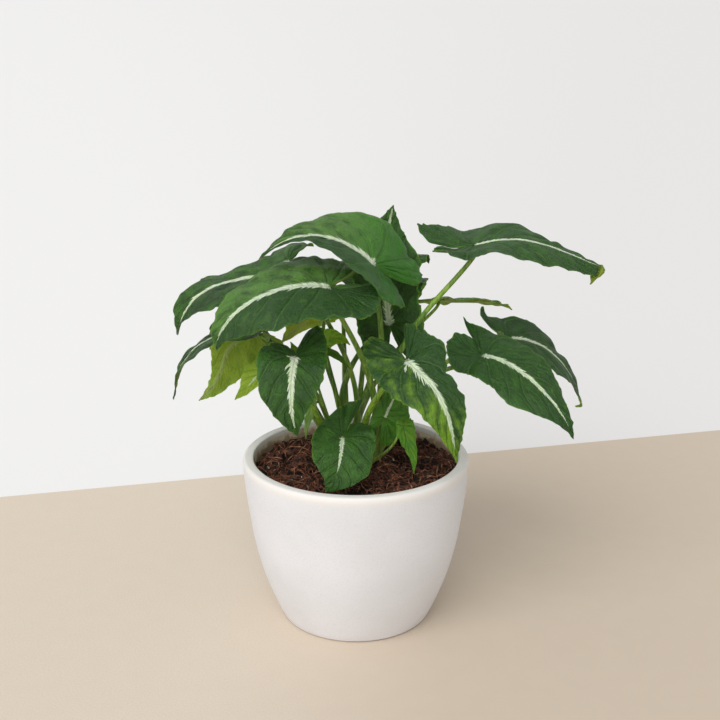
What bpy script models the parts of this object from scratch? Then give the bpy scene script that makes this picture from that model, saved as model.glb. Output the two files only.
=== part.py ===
# Arrowhead vine (Syngonium wendlandii) growing in a plain white pot.
# Metres, +Z up. The origin is the centre of the pot's flat base, and -Y is the front.
import bpy
import bmesh
import numpy as np
from mathutils import Vector

MM = 0.001

# Pot, in millimetres
POT_HEIGHT = 121.0
RIM_RADIUS = 80.3
MOUTH_RADIUS = 73.0
BASE_RADIUS = 51.5
FLOOR_THICKNESS = 8.0
POT_SIDES = 48

# Soil, in millimetres
SOIL_TOP = 111.0
SOIL_RELIEF = 1.3
FLAT_ROUND_FOOT = 6.0
RELIEF_FADE = 12.0
CLEARANCE = 0.3

# Plantlets: where each one stands in the soil and how thick its foot is
FOOT_DEPTH = 9.0
FOOT_HEIGHT = 13.0
FOOT_SIDES = 16
STALK_START = 4.0
HOLE_HEADROOM = 10.0
PLANTLETS = {
    "stem_left": {"at": (-12.0, -9.0), "radius": 3.8},
    "stem_back": {"at": (-5.0, 10.0), "radius": 3.8},
    "stem_front": {"at": (7.0, -11.0), "radius": 4.2},
    "stem_right": {"at": (14.0, 5.0), "radius": 4.2},
}

# Blades, in millimetres
BLADE_THICKNESS = 0.8
EDGE_STEPS = 15
RADIAL_STEPS = 4
SMALL_BLADE = 16.0
BLEND_ACROSS = 0.06

# Stalk ends: the gap under the blade, and the bend that brings the stalk to it
STALK_GAP = 0.35
STALK_POINTS = 10
LEAN_ALONG = 0.55
LEAN_UP = 0.83
BEND_START = 7.0
BEND_END = 2.8

# Each leaf, in millimetres and degrees.
# rib: four points along the midrib, from the stalk's end to the tip.
# face: the way that the upper side looks.
# right, left: half width, lobe length, lobe spread, pointedness, taper of the half beside the rib,
#   looking from the stalk to the tip.
# fold: rise of the right half beside the rib, at its lobe's end, the stalk, mid-length and the tip,
#   and then the same for the left half.
# camber: how far each half curls down to its edge. drop: how far each lobe bends down.
# wave: height, number and phase of the waves along the edge. hook: start, angle, length and twist of
#   a sharp bend near the tip. inward: how far each lobe's inner edge bulges across the midrib's line.
# waist: narrowing of each half a quarter of the way down.
# stem, stalk: the plantlet that it grows from, and two points on the way. girth: the stalk's
#   radius low down and at the blade.
LEAVES = {
    "leaf_top": {
        "rib": [(12, -6, 260), (-10, -14, 277), (-36, -22, 282), (-64, -28, 267)],
        "face": (-0.1, -0.45, 1), "right": (46, 42, 22, 0, 0.85), "left": (35, 32, 12, 0, 0.75),
        "fold": ((25, 26, -10, -5), (6, 6, 16, 30)),
        "camber": (18, 14), "drop": (-5, 10), "wave": (1.2, 4, 0.1),
        "inward": (0, 5),
        "stem": "stem_right", "stalk": [(18, 2, 183), (16, -3, 228)], "girth": (2.7, 1.9)},
    "leaf_left_large": {
        "rib": [(-18, -34, 251), (-49, -46, 252), (-76, -58, 240), (-89, -66, 217)],
        "face": (-0.1, -0.15, 1), "right": (38, 36, 26, 0, 1.1), "left": (40, 33, 9, 0, 1.45),
        "fold": ((16, 24, 2, 50), (-14, -6, -5, -35)),
        "camber": (14, 16), "drop": (-28, -20), "wave": (1.3, 4, 0.4),
        "inward": (-12, 11),
        "stem": "stem_front", "stalk": [(13, -13, 166), (-1, -24, 211)], "girth": (2.9, 1.9)},
    "leaf_left_upper": {
        "rib": [(-47, 14, 257), (-71, 8, 248), (-102, 2, 240), (-123, -2, 209)],
        "face": (-0.2, -0.25, 1), "right": (33, 26, 14, 0, 1.25), "left": (27, 16, 16, 0, 1.8),
        "fold": ((-6, 8, -6, 55), (6, 6, 5, 4)),
        "camber": (14, 14), "drop": (45, 75), "wave": (1.8, 4, 0.6),
        "waist": (0.8, 1),
        "stem": "stem_back", "stalk": [(-1, 10, 170), (-19, 13, 213)], "girth": (2.5, 1.7)},
    "leaf_left_low": {
        "rib": [(-73, 4, 213), (-95, 0, 208), (-115, -4, 196), (-127, -8, 164)],
        "face": (-0.6, -0.12, 1), "right": (17, 15, 10, 0, 1), "left": (25, 16, 10, 0, 1),
        "fold": ((6, 6, 6, 6), (10, 10, 10, 10)),
        "camber": (14, 14), "drop": (80, 110), "wave": (2.0, 5, 0.2),
        "stem": "stem_left", "stalk": [(-27, 0, 164), (-50, 5, 196)], "girth": (2.3, 1.5)},
    "leaf_left_turned": {
        "rib": [(-72, 26, 202), (-92, 30, 189), (-99, 34, 171), (-116, 36, 148)],
        "face": (0.3, 0.9, 0.35), "right": (26, 17, 12, 0, 1), "left": (14, 17, 10, 0, 1),
        "fold": ((6, 6, 5, 4), (6, 6, 5, 4)), "camber": (10, 10), "drop": (20, 20), "wave": (1.8, 4, 0.0),
        "stem": "stem_left", "stalk": [(-30, 4, 156), (-55, 14, 188)], "girth": (2.2, 1.4)},
    "leaf_left_small": {
        "rib": [(-62, -12, 187), (-69, -15, 182), (-75, -19, 176), (-83, -22, 169)],
        "face": (-0.5, -0.8, 0.6), "right": (12, 11, 8, 0, 1), "left": (10, 10, 7, 0, 1),
        "fold": ((10, 10, 8, 6), (10, 10, 8, 6)),
        "camber": (10, 10), "drop": (20, 20), "wave": (0.8, 3, 0.3),
        "stem": "stem_left", "stalk": [(-26, -11, 146), (-41, -13, 170)], "girth": (1.9, 1.2)},
    "leaf_front_left": {
        "rib": [(-39, -58, 210), (-41, -68, 198), (-41, -73, 180), (-37, -72, 161)],
        "face": (0.05, -1, 0.35), "right": (24, 9, 16, 0, 1.12), "left": (21, 31, 10, 0, 1.1),
        "fold": ((8, 8, 6, 4), (8, 8, 6, 4)), "camber": (10, 10), "drop": (25, 10), "wave": (0.8, 3, 0.5),
        "inward": (2, 1),
        "stem": "stem_left", "stalk": [(-24, -28, 154), (-34, -47, 188)], "girth": (2.3, 1.5)},
    "leaf_low_left": {
        "rib": [(-30, -21, 166), (-31, -25, 160), (-33, -29, 152), (-34, -33, 144)],
        "face": (-0.9, -0.4, 0.3), "right": (8, 6, 4, 0, 1), "left": (8, 6, 4, 0, 1),
        "fold": ((10, 10, 8, 6), (10, 10, 8, 6)),
        "camber": (10, 10), "drop": (20, 20), "wave": (0.5, 3, 0.0),
        "stem": "stem_left", "stalk": [(-18, -13, 146), (-26, -16, 168)], "girth": (1.6, 1.0)},
    "leaf_behind": {
        "rib": [(-37, -34, 193), (-38, -36, 200), (-40, -38, 208), (-43, -38, 215)],
        "face": (0.2, -1, 0.1), "right": (7, 3, 3, 0, 1.2), "left": (7, 3, 3, 0, 1.2),
        "fold": ((10, 10, 8, 6), (10, 10, 8, 6)),
        "camber": (10, 10), "drop": (20, 20), "wave": (0.5, 3, 0.3),
        "stem": "stem_left", "stalk": [(-16, -18, 146), (-26, -31, 175)], "girth": (1.6, 1.0)},
    "leaf_curled": {
        "rib": [(-28, -2, 196), (-19, -3, 198), (-11, -3, 193), (-4, -1, 184)],
        "face": (0.3, -0.7, 0.6), "right": (4, 3, 2, 0, 1.2), "left": (3, 3, 2, 0, 1.2),
        "fold": ((20, 20, 15, 10), (20, 20, 15, 10)),
        "camber": (20, 20), "drop": (20, 20), "wave": (0.5, 3, 0.1),
        "stem": "stem_left", "stalk": [(-19, -5, 148), (-27, -2, 174)], "girth": (1.6, 0.9)},
    "leaf_middle_turned": {
        "rib": [(-24, 33, 221), (-34, 43, 211), (-43, 53, 200), (-56, 61, 185)],
        "face": (0.1, 0.6, 0.8), "right": (20, 16, 10, 0, 1), "left": (18, 16, 10, 0, 1),
        "fold": ((6, 6, 5, 4), (6, 2, -2, 4)),
        "camber": (10, 10), "drop": (20, 20), "wave": (1.2, 3, 0.7),
        "stem": "stem_back", "stalk": [(-16, 15, 168), (-23, 22, 198)], "girth": (2.1, 1.4)},
    "leaf_middle_small": {
        "rib": [(-22, 10, 200), (-16, 5, 205), (-10, 0, 206), (-4, -5, 203)],
        "face": (0.1, -1, 0.5), "right": (7, 6, 4, 0, 1), "left": (8, 6, 4, 0, 1),
        "fold": ((15, 15, 12, 10), (15, 15, 12, 10)),
        "camber": (10, 10), "drop": (20, 20), "wave": (0.6, 3, 0.2),
        "stem": "stem_back", "stalk": [(-14, 10, 160), (-22, 12, 185)], "girth": (1.7, 1.0)},
    "leaf_upright": {
        "rib": [(24, 34, 208), (21, 42, 237), (22, 50, 265), (27, 56, 290)],
        "face": (0.1, -1, 0.2), "right": (25, 28, 16, 0, 1.55), "left": (26, 28, 16, 0, 1.7),
        "fold": ((25, 25, 20, 15), (25, 25, 20, 15)),
        "camber": (10, 10), "drop": (10, 10), "wave": (1.2, 4, 0.3),
        "stem": "stem_back", "stalk": [(-10, 18, 159), (4, 27, 190)], "girth": (2.8, 1.9)},
    "leaf_back_right": {
        "rib": [(61, 50, 221), (78, 62, 217), (99, 74, 213), (119, 84, 205)],
        "face": (0, 0.34, 1), "right": (22, 20, 14, 0, 1), "left": (22, 20, 14, 0, 1),
        "fold": ((6, 6, 5, 4), (6, 6, 5, 4)), "camber": (14, 14), "drop": (20, 20), "wave": (0.9, 4, 0.5),
        "stem": "stem_back", "stalk": [(12, 32, 160), (38, 44, 195)], "girth": (2.2, 1.4)},
    "leaf_back_small": {
        "rib": [(36, 72, 245), (42, 79, 247), (49, 84, 247), (55, 88, 240)],
        "face": (0.1, 0.2, 1), "right": (18, 16, 11, 0, 1), "left": (16, 16, 11, 0, 1),
        "fold": ((8, 8, 8, 8), (8, 8, 8, 8)), "camber": (14, 14), "drop": (20, 20), "wave": (1.2, 3, 0.1),
        "stem": "stem_back", "stalk": [(4, 32, 165), (12, 58, 214)], "girth": (2.2, 1.4)},
    "leaf_back_left": {
        "rib": [(-18, 62, 238), (-31, 82, 240), (-44, 98, 230), (-53, 108, 210)],
        "face": (-0.1, 0.1, 1), "right": (30, 26, 18, 0, 1), "left": (30, 26, 18, 0, 1),
        "fold": ((8, 8, 6, 4), (8, 8, 6, 4)), "camber": (14, 14), "drop": (20, 20), "wave": (1.4, 4, 0.8),
        "stem": "stem_back", "stalk": [(-8, 30, 165), (-10, 52, 212)], "girth": (2.3, 1.5)},
    "leaf_front_right": {
        "rib": [(34, -50, 205), (48, -66, 195), (58, -76, 179), (65, -80, 146)],
        "face": (0.25, -1, 0.5), "right": (25.5, 30, 12, 0, 1), "left": (27, 24, 18, 0, 0.8),
        "fold": ((4, 4, 4, 4), (4, 4, 7, 10)),
        "camber": (12, 12), "drop": (-20, -10), "wave": (1.0, 4, 0.2),
        "inward": (3, -6),
        "waist": (1, 0.58),
        "stem": "stem_front", "stalk": [(6, -23, 152), (18, -41, 183)], "girth": (2.9, 1.9)},
    "leaf_front_low": {
        "rib": [(-9, -46, 150), (-10, -56, 141), (-13, -62, 130), (-20, -65, 119)],
        "face": (0.1, -1, 0.4), "right": (21, 32, -12, 0.3, 1.3), "left": (23, 17, 14, 0, 1.35),
        "fold": ((10, 10, 8, 6), (10, 10, 8, 6)),
        "camber": (10, 10), "drop": (-30, 20), "wave": (0.8, 3, 0.0),
        "stem": "stem_front", "stalk": [(3, -24, 134), (-3, -37, 148)], "girth": (2.0, 1.3)},
    "leaf_low_middle": {
        "rib": [(20, -24, 157), (25, -20, 167), (30, -16, 176), (35, -14, 183)],
        "face": (0.3, -1, 0.3), "right": (16, 18, 9, 0, 1), "left": (9, 16, 6, 0, 1),
        "fold": ((10, 10, 8, 6), (10, 10, 8, 6)),
        "camber": (10, 10), "drop": (20, 20), "wave": (0.8, 3, 0.4),
        "stem": "stem_front", "stalk": [(13, -13, 130), (17, -18, 145)], "girth": (1.9, 1.2)},
    "leaf_low_right": {
        "rib": [(33, -34, 154), (35, -40, 146), (38, -46, 138), (39, -50, 126)],
        "face": (0.3, -1, 0.3), "right": (6, 5, 4, 0, 1), "left": (7, 6, 4, 0, 1),
        "fold": ((10, 10, 8, 6), (10, 10, 8, 6)),
        "camber": (10, 10), "drop": (20, 20), "wave": (0.5, 3, 0.0),
        "stem": "stem_front", "stalk": [(17, -23, 128), (26, -31, 140)], "girth": (1.6, 1.0)},
    "leaf_right_upper": {
        "rib": [(82, 4, 271), (111, 2, 275), (140, 0, 268), (180, 0, 251)],
        "face": (0, 0, 1), "right": (32, 30, 20, 0, 1.15), "left": (34, 44, 22, 0.2, 0.9),
        "fold": ((6, 6, -14, -50), (32, 16, 8, -8)),
        "camber": (14, 10), "drop": (-35, -35), "wave": (1.5, 5, 0.3),
        "hook": (0.85, 100, 0.03, 75),
        "stem": "stem_right", "stalk": [(28, 3, 189), (52, 4, 229)], "girth": (2.8, 2.0)},
    "leaf_right_large": {
        "rib": [(88, -8, 196), (109, -26, 192), (130, -44, 176), (144, -56, 153)],
        "face": (-0.1, -0.35, 1), "right": (24, 29, 2, 0, 1.65), "left": (26, 37, 30, 0.5, 1),
        "fold": ((4, 4, 3, 2), (14, 12, 3, 4)),
        "camber": (12, 12), "drop": (-65, -35), "wave": (1.0, 4, 0.6),
        "inward": (13, -9),
        "waist": (1.18, 0.88),
        "stem": "stem_right", "stalk": [(33, -7, 162), (58, -9, 185)], "girth": (2.7, 1.8)},
    "leaf_right_back": {
        "rib": [(113, 36, 196), (138, 42, 187), (157, 44, 167), (169, 44, 138)],
        "face": (0.2, -0.3, 1), "right": (25, 22, 12, 0, 1.5), "left": (22, 30, 18, 0.5, 1),
        "fold": ((15, 10, 6, 6), (22, 16, 6, 6)),
        "camber": (12, 12), "drop": (-60, -45), "wave": (1.6, 4, 0.1),
        "hook": (0.93, 90, 0.03, 0),
        "stem": "stem_right", "stalk": [(38, 12, 157), (70, 20, 187)], "girth": (2.6, 1.7)},
    "leaf_back_middle": {
        "rib": [(31, 79, 226), (37, 98, 227), (42, 111, 214), (43, 118, 195)],
        "face": (0, 0.1, 1), "right": (22, 16, 12, 0, 1), "left": (24, 16, 12, 0, 1),
        "fold": ((8, 8, 6, 4), (8, 8, 6, 4)), "camber": (14, 14), "drop": (20, 20), "wave": (1.4, 4, 0.2),
        "stem": "stem_back", "stalk": [(10, 30, 165), (28, 58, 204)], "girth": (2.3, 1.5)},
    "leaf_back_low": {
        "rib": [(-66, 60, 214), (-86, 70, 212), (-102, 76, 198), (-112, 80, 174)],
        "face": (-0.2, 0.2, 1), "right": (26, 24, 16, 0, 1), "left": (26, 24, 16, 0, 1),
        "fold": ((8, 8, 6, 4), (8, 8, 6, 4)), "camber": (14, 14), "drop": (20, 20), "wave": (1.4, 4, 0.9),
        "stem": "stem_left", "stalk": [(-36, 10, 158), (-62, 34, 194)], "girth": (2.2, 1.4)},
}

for thing in list(bpy.data.objects):
    bpy.data.objects.remove(thing, do_unlink=True)

part = bpy.data.collections.new("arrowhead_vine")
tools = bpy.data.collections.new("cutters")
bpy.context.scene.collection.children.link(part)
bpy.context.scene.collection.children.link(tools)


def material(name, colour, roughness):
    mat = bpy.data.materials.new(name)
    mat.use_nodes = True
    shader = mat.node_tree.nodes["Principled BSDF"]
    shader.inputs["Base Color"].default_value = (*colour, 1.0)
    shader.inputs["Roughness"].default_value = roughness
    shader.inputs["Metallic"].default_value = 0.0
    mat.diffuse_color = (*colour, 1.0)
    return mat


def add_object(name, mesh, collection, mat=None):
    obj = bpy.data.objects.new(name, mesh)
    collection.objects.link(obj)
    if mat:
        mesh.materials.clear()
        mesh.materials.append(mat)
    return obj


def evaluated_mesh(obj, weld=True):
    # The object's mesh with its modifiers applied, and a curve's end caps welded on
    bpy.context.view_layer.update()
    graph = bpy.context.evaluated_depsgraph_get()
    mesh = bpy.data.meshes.new_from_object(obj.evaluated_get(graph))
    if weld:
        bm = bmesh.new()
        bm.from_mesh(mesh)
        bmesh.ops.remove_doubles(bm, verts=bm.verts, dist=0.00001)
        bm.to_mesh(mesh)
        bm.free()
    return mesh


def upright_cylinder(name, at, radius, bottom, top):
    # An upright cylinder between two heights, in millimetres, kept with the cutters
    bpy.ops.mesh.primitive_cylinder_add(
        vertices=FOOT_SIDES, radius=radius * MM, depth=(top - bottom) * MM,
        location=(at[0] * MM, at[1] * MM, (top + bottom) / 2 * MM))
    obj = bpy.context.active_object
    obj.name = name
    for owner in list(obj.users_collection):
        owner.objects.unlink(obj)
    tools.objects.link(obj)
    return obj


def turned(name, profile, mat, collection=part):
    # A profile of (radius, height) in millimetres, turned about the upright axis
    mesh = bpy.data.meshes.new(name)
    points = [(r * MM, 0.0, z * MM) for r, z in profile]
    mesh.from_pydata(points, [(i, i + 1) for i in range(len(points) - 1)], [])
    obj = add_object(name, mesh, collection, mat)
    screw = obj.modifiers.new("turn", "SCREW")
    screw.axis = "Z"
    screw.steps = POT_SIDES
    screw.render_steps = POT_SIDES
    screw.use_merge_vertices = True
    screw.merge_threshold = 0.00005
    screw.use_smooth_shade = True
    return obj


# Pot: a turned shell with a rounded rim, a bellied side and a flat base
INNER_WALL = [(46.0, FLOOR_THICKNESS), (53.0, 14.0), (60.5, 32.0), (66.2, 56.0), (69.8, 82.0),
              (72.0, 104.0)]
POT_PROFILE = [(0.0, FLOOR_THICKNESS)] + INNER_WALL + [
    (72.8, 116.0), (MOUTH_RADIUS, 118.6), (74.2, 120.5), (76.4, POT_HEIGHT), (78.9, 120.4),
    (RIM_RADIUS, 118.0), (80.2, 113.0), (79.4, 102.0), (77.0, 82.0), (72.9, 56.0), (66.7, 32.5),
    (59.4, 13.0), (55.0, 3.2), (53.6, 0.9), (BASE_RADIUS, 0.0), (0.0, 0.0)]
pot = turned("pot", POT_PROFILE, material("pot_white", (0.80, 0.78, 0.75), 0.55))


def inner_radius(z):
    # Inner radius of the pot at a height
    return float(np.interp(z, [p[1] for p in INNER_WALL], [p[0] for p in INNER_WALL]))


# Soil: fills the pot to just under the rim, with a lumpy top and a plain hole for each plantlet
soil_side = [(inner_radius(z) - CLEARANCE, z) for z in (100.0, 82.0, 56.0, 32.0, 14.0)]
soil_rings = [(r, SOIL_TOP) for r in (14.0, 26.0, 38.0, 50.0, 61.0)]
soil_profile = [(0.0, SOIL_TOP)] + soil_rings + [(71.0, SOIL_TOP - 1.5), (71.9, SOIL_TOP - 4.5)]
soil_profile += soil_side + [(45.5, FLOOR_THICKNESS + CLEARANCE), (0.0, FLOOR_THICKNESS + CLEARANCE)]
soil_blank = turned("soil_blank", soil_profile, None, tools)
soil_mesh = evaluated_mesh(soil_blank)
bpy.data.objects.remove(soil_blank, do_unlink=True)
for vertex in soil_mesh.vertices:
    x, y, z = (c / MM for c in vertex.co)
    if z > SOIL_TOP - 0.5:
        lump = np.sin(0.21 * x + 1.3) * np.cos(0.17 * y - 0.6) + 0.6 * np.sin(0.11 * x - 0.23 * y)
        near_foot = min(np.hypot(x - p["at"][0], y - p["at"][1]) for p in PLANTLETS.values())
        fade = min(1.0, max(0.0, near_foot - FLAT_ROUND_FOOT) / RELIEF_FADE)
        vertex.co.z += SOIL_RELIEF * lump * fade * MM
soil = add_object("soil", soil_mesh, part, material("soil_brown", (0.045, 0.025, 0.016), 0.95))
bm = bmesh.new()
bm.from_mesh(soil_mesh)
bmesh.ops.triangulate(bm, faces=bm.faces)
bm.to_mesh(soil_mesh)
bm.free()
for name, plantlet in PLANTLETS.items():
    hole = upright_cylinder("hole_" + name, plantlet["at"], plantlet["radius"] + CLEARANCE,
                            SOIL_TOP - FOOT_DEPTH - CLEARANCE, SOIL_TOP + HOLE_HEADROOM)
    hole.hide_render = True
    hole.display_type = "WIRE"
    cut = soil.modifiers.new("hole", "BOOLEAN")
    cut.operation = "DIFFERENCE"
    cut.solver = "EXACT"
    cut.object = hole


# Leaf geometry, worked out as whole arrays

def unit(a):
    return a / np.maximum(np.linalg.norm(a, axis=-1, keepdims=True), 1e-9)


def cubic(points, t):
    # The cubic through four points at t = 0, 1/3, 2/3 and 1
    p = np.asarray(points, float)
    t = np.asarray(t, float)[:, None]
    return (-4.5 * (t - 1 / 3) * (t - 2 / 3) * (t - 1) * p[0] + 13.5 * t * (t - 2 / 3) * (t - 1) * p[1]
            - 13.5 * t * (t - 1 / 3) * (t - 1) * p[2] + 4.5 * t * (t - 1 / 3) * (t - 2 / 3) * p[3])


def evenly(points, count):
    # Evenly spaced points along that cubic, and its length
    fine = cubic(points, np.linspace(0, 1, 200))
    run = np.concatenate([[0], np.cumsum(np.linalg.norm(np.diff(fine, axis=0), axis=1))])
    at = np.linspace(0, run[-1], count)
    return np.stack([np.interp(at, run, fine[:, k]) for k in range(3)], -1), run[-1]


def smooth_line(points, t):
    # A curve through all the points, t from 0 to 1
    p = np.asarray(points, float)
    count = len(p) - 1
    ends = np.concatenate([[2 * p[0] - p[1]], p, [2 * p[-1] - p[-2]]])
    x = np.clip(np.asarray(t) * count, 0, count - 1e-9)
    i = x.astype(int)
    f = (x - i)[:, None]
    a, b, c, d = ends[i], ends[i + 1], ends[i + 2], ends[i + 3]
    return 0.5 * (2 * b + (c - a) * f + (2 * a - 5 * b + 4 * c - d) * f ** 2
                  + (3 * b - a - 3 * c + d) * f ** 3)


def half_outline(length, half, inward, waist, count):
    # (along, across) points down one edge, from the notch at the stalk round the lobe to the tip
    width, lobe, spread, pointed, taper = half
    k = pointed
    return smooth_line([
        (-0.03 * length, 0.0),
        (-0.50 * lobe, (0.16 + 0.10 * k) * spread - inward),
        (-0.90 * lobe, (0.52 + 0.20 * k) * spread - 0.8 * inward),
        (-1.00 * lobe, spread),
        ((-0.84 + 0.10 * k) * lobe, spread + (0.45 - 0.22 * k) * (width - spread)),
        (-0.40 * lobe, spread + (0.84 - 0.30 * k) * (width - spread)),
        (0.07 * length, (1.0 - 0.06 * k) * width),
        (0.28 * length, 0.93 * width * waist),
        (0.52 * length, 0.66 * width * taper),
        (0.74 * length, 0.36 * width * taper),
        (0.90 * length, 0.13 * width * taper),
        (length, 0.0)], np.linspace(0, 1, count))


def rib_frames(leaf, count=81):
    # Points, directions, right-hand sides and upward normals along the midrib
    rib, length = evenly(leaf["rib"], count)
    along = unit(np.gradient(rib, axis=0))
    side = unit(np.cross(along[count // 3], unit(np.asarray(leaf["face"], float))))
    across = unit(side - (along @ side)[:, None] * along)
    normal = np.cross(across, along)
    start, angle, width, twist = leaf.get("hook", (0.9, 0, 0.1, 0))
    if angle:
        grown = np.clip((np.linspace(0, 1, count) - start) / width, 0, 1)[:, None]
        c, s = np.cos(np.radians(angle) * grown), np.sin(np.radians(angle) * grown)
        along, normal = along * c - normal * s, normal * c + along * s
        c, s = np.cos(np.radians(twist) * grown), np.sin(np.radians(twist) * grown)
        across, normal = across * c - normal * s, normal * c + across * s
        steps = (along[1:] + along[:-1]) / 2 * length / (count - 1)
        rib = rib[0] + np.concatenate([[[0, 0, 0]], np.cumsum(steps, axis=0)])
    return rib, along, across, normal, length


def bent(leaf, u, v, sign):
    # Flat (along, across) positions on the blade, bent into space, with the normal there; sign is 1
    # on the right half and -1 on the left one
    rib, along, across, normal, length = rib_frames(leaf)
    at = np.clip(u / length, 0, 1) * (len(rib) - 1)
    index = np.arange(len(rib))
    p, t, b, n = (np.stack([np.interp(at, index, a[:, k]) for k in range(3)], -1)
                  for a in (rib, along, across, normal))
    right = sign > 0
    out = sign * v
    width = np.where(right, leaf["right"][0], leaf["left"][0])
    lobe = np.where(right, leaf["right"][1], leaf["left"][1])
    fold = np.radians(np.where(right, *(
        np.interp(u, [-leaf[half][1], 0, length / 2, length], rises)
        for half, rises in zip(("right", "left"), leaf["fold"]))))
    curl = -np.radians(np.where(right, *leaf["camber"])) / width
    sideways = (np.sin(fold + curl * out) - np.sin(fold)) / curl
    upward = (np.cos(fold) - np.cos(fold + curl * out)) / curl
    behind = np.clip(-u, 0, None)
    share = 0.5 + 0.5 * sign * np.clip(np.abs(out) / (BLEND_ACROSS * length), 0, 1)
    drop = np.radians(leaf["drop"][0] * share + leaf["drop"][1] * (1 - share))
    rate = np.where(np.abs(drop) < 1e-4, 1e-4, drop) / lobe
    turn = (rate * behind)[:, None]
    lifted = n * np.cos(turn) - t * np.sin(turn)
    place = (p - t * np.sin(turn) / rate[:, None] - n * (1 - np.cos(turn)) / rate[:, None]
             + b * (sign * sideways)[:, None] + lifted * upward[:, None])
    return place, lifted


# Where the fan of rows meets the midrib, as a share of its length, for each twelfth of the edge
RIB_SHARE = [0, 0, 0, 0, 0, 0, 0.03, 0.22, 0.47, 0.71, 0.89, 1]


def blade_surface(leaf, edge_steps, radial_steps):
    # The blade's open middle surface: rows fan out from the stalk and then from the midrib
    length = rib_frames(leaf)[4]
    t = np.linspace(0, 1, edge_steps)
    root = length * np.interp(t, np.arange(12) / 11, RIB_SHARE)
    index, flat, place = {}, [], []
    faces = []
    for side, (sign, half) in enumerate(((1, leaf["right"]), (-1, leaf["left"]))):
        inward, waist = leaf.get("inward", (0, 0))[side], leaf.get("waist", (1, 1))[side]
        edge = half_outline(length, half, inward, waist, edge_steps)
        grid = np.zeros((edge_steps, radial_steps), int)
        for i in range(edge_steps):
            for j in range(radial_steps):
                q = j / (radial_steps - 1)
                if i == edge_steps - 1:
                    key = "tip"
                elif j == 0:
                    key = ("rib", root[i])
                elif i == 0:
                    key = ("notch", j)
                else:
                    key = (sign, i, j)
                if key not in index:
                    index[key] = len(flat)
                    flat.append((root[i] + (edge[i, 0] - root[i]) * q, sign * edge[i, 1] * q))
                    place.append((t[i], q, sign))
                grid[i, j] = index[key]
        for i in range(edge_steps - 1):
            for j in range(radial_steps - 1):
                a, b, c, d = grid[i, j], grid[i + 1, j], grid[i + 1, j + 1], grid[i, j + 1]
                if sign > 0:
                    a, b, c, d = d, c, b, a
                for face in ((a, b, c), (a, c, d)):
                    if len(set(face)) == 3:
                        faces.append(tuple(int(n) for n in face))
    flat, place = np.array(flat), np.array(place)
    points, normal = bent(leaf, flat[:, 0], flat[:, 1], place[:, 2])
    height, waves, phase = leaf["wave"]
    ripple = np.sin(2 * np.pi * (waves * place[:, 0] + phase) + 0.7 * place[:, 2])
    ripple = height * ripple * place[:, 1] ** 2 * np.sqrt(np.sin(np.pi * place[:, 0]))
    return points + normal * ripple[:, None], faces


def blade(name, leaf, mat):
    # A thin closed blade: the middle surface thickened both ways
    small = leaf["right"][0] < SMALL_BLADE
    points, faces = blade_surface(leaf, 12 if small else EDGE_STEPS, 3 if small else RADIAL_STEPS)
    mesh = bpy.data.meshes.new(name)
    mesh.from_pydata((points * MM).tolist(), [], faces)
    mesh.update()
    obj = add_object(name, mesh, part, mat)
    shell = obj.modifiers.new("thickness", "SOLIDIFY")
    shell.thickness = BLADE_THICKNESS * MM
    shell.offset = 0.0
    mesh.shade_smooth()
    return obj


def stalk(name, leaf, plantlet):
    # A leaf stalk: a tapering tube from inside the plantlet's foot to just under the blade
    rib, along, _, normal, _ = rib_frames(leaf)
    approach = unit(LEAN_ALONG * along[0] + LEAN_UP * normal[0])
    corner = leaf["girth"][1] * np.linalg.norm(np.cross(approach, normal[0]))
    end = rib[0] - normal[0] * (BLADE_THICKNESS / 2 + STALK_GAP + corner)
    start = np.array([*plantlet["at"], SOIL_TOP + STALK_START])
    path, _ = evenly([start, *leaf["stalk"], end - BEND_START * approach], STALK_POINTS)
    path = np.concatenate([path, [end - BEND_END * approach, end]])
    curve = bpy.data.curves.new(name, "CURVE")
    curve.dimensions = "3D"
    curve.bevel_depth = MM
    curve.bevel_resolution = 1
    curve.use_fill_caps = True
    line = curve.splines.new("POLY")
    line.points.add(len(path) - 1)
    for k, (point, spot) in enumerate(zip(line.points, path)):
        share = k / (len(path) - 1)
        point.co = (*(Vector(spot) * MM), 1.0)
        point.radius = leaf["girth"][0] + (leaf["girth"][1] - leaf["girth"][0]) * min(1.0, share * 1.3)
    obj = bpy.data.objects.new(name, curve)
    tools.objects.link(obj)
    mesh = evaluated_mesh(obj)
    bpy.data.objects.remove(obj, do_unlink=True)
    return mesh


# Blades, each a solid of its own
greens = {
    "dark": material("leaf_dark_green", (0.045, 0.125, 0.035), 0.42),
    "bright": material("leaf_bright_green", (0.13, 0.26, 0.03), 0.45),
}
BRIGHT = ("leaf_left_turned", "leaf_left_small", "leaf_middle_turned", "leaf_middle_small",
          "leaf_low_left", "leaf_low_right", "leaf_behind", "leaf_curled")
for name, leaf in LEAVES.items():
    blade(name, leaf, greens["bright" if name in BRIGHT else "dark"])

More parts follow.
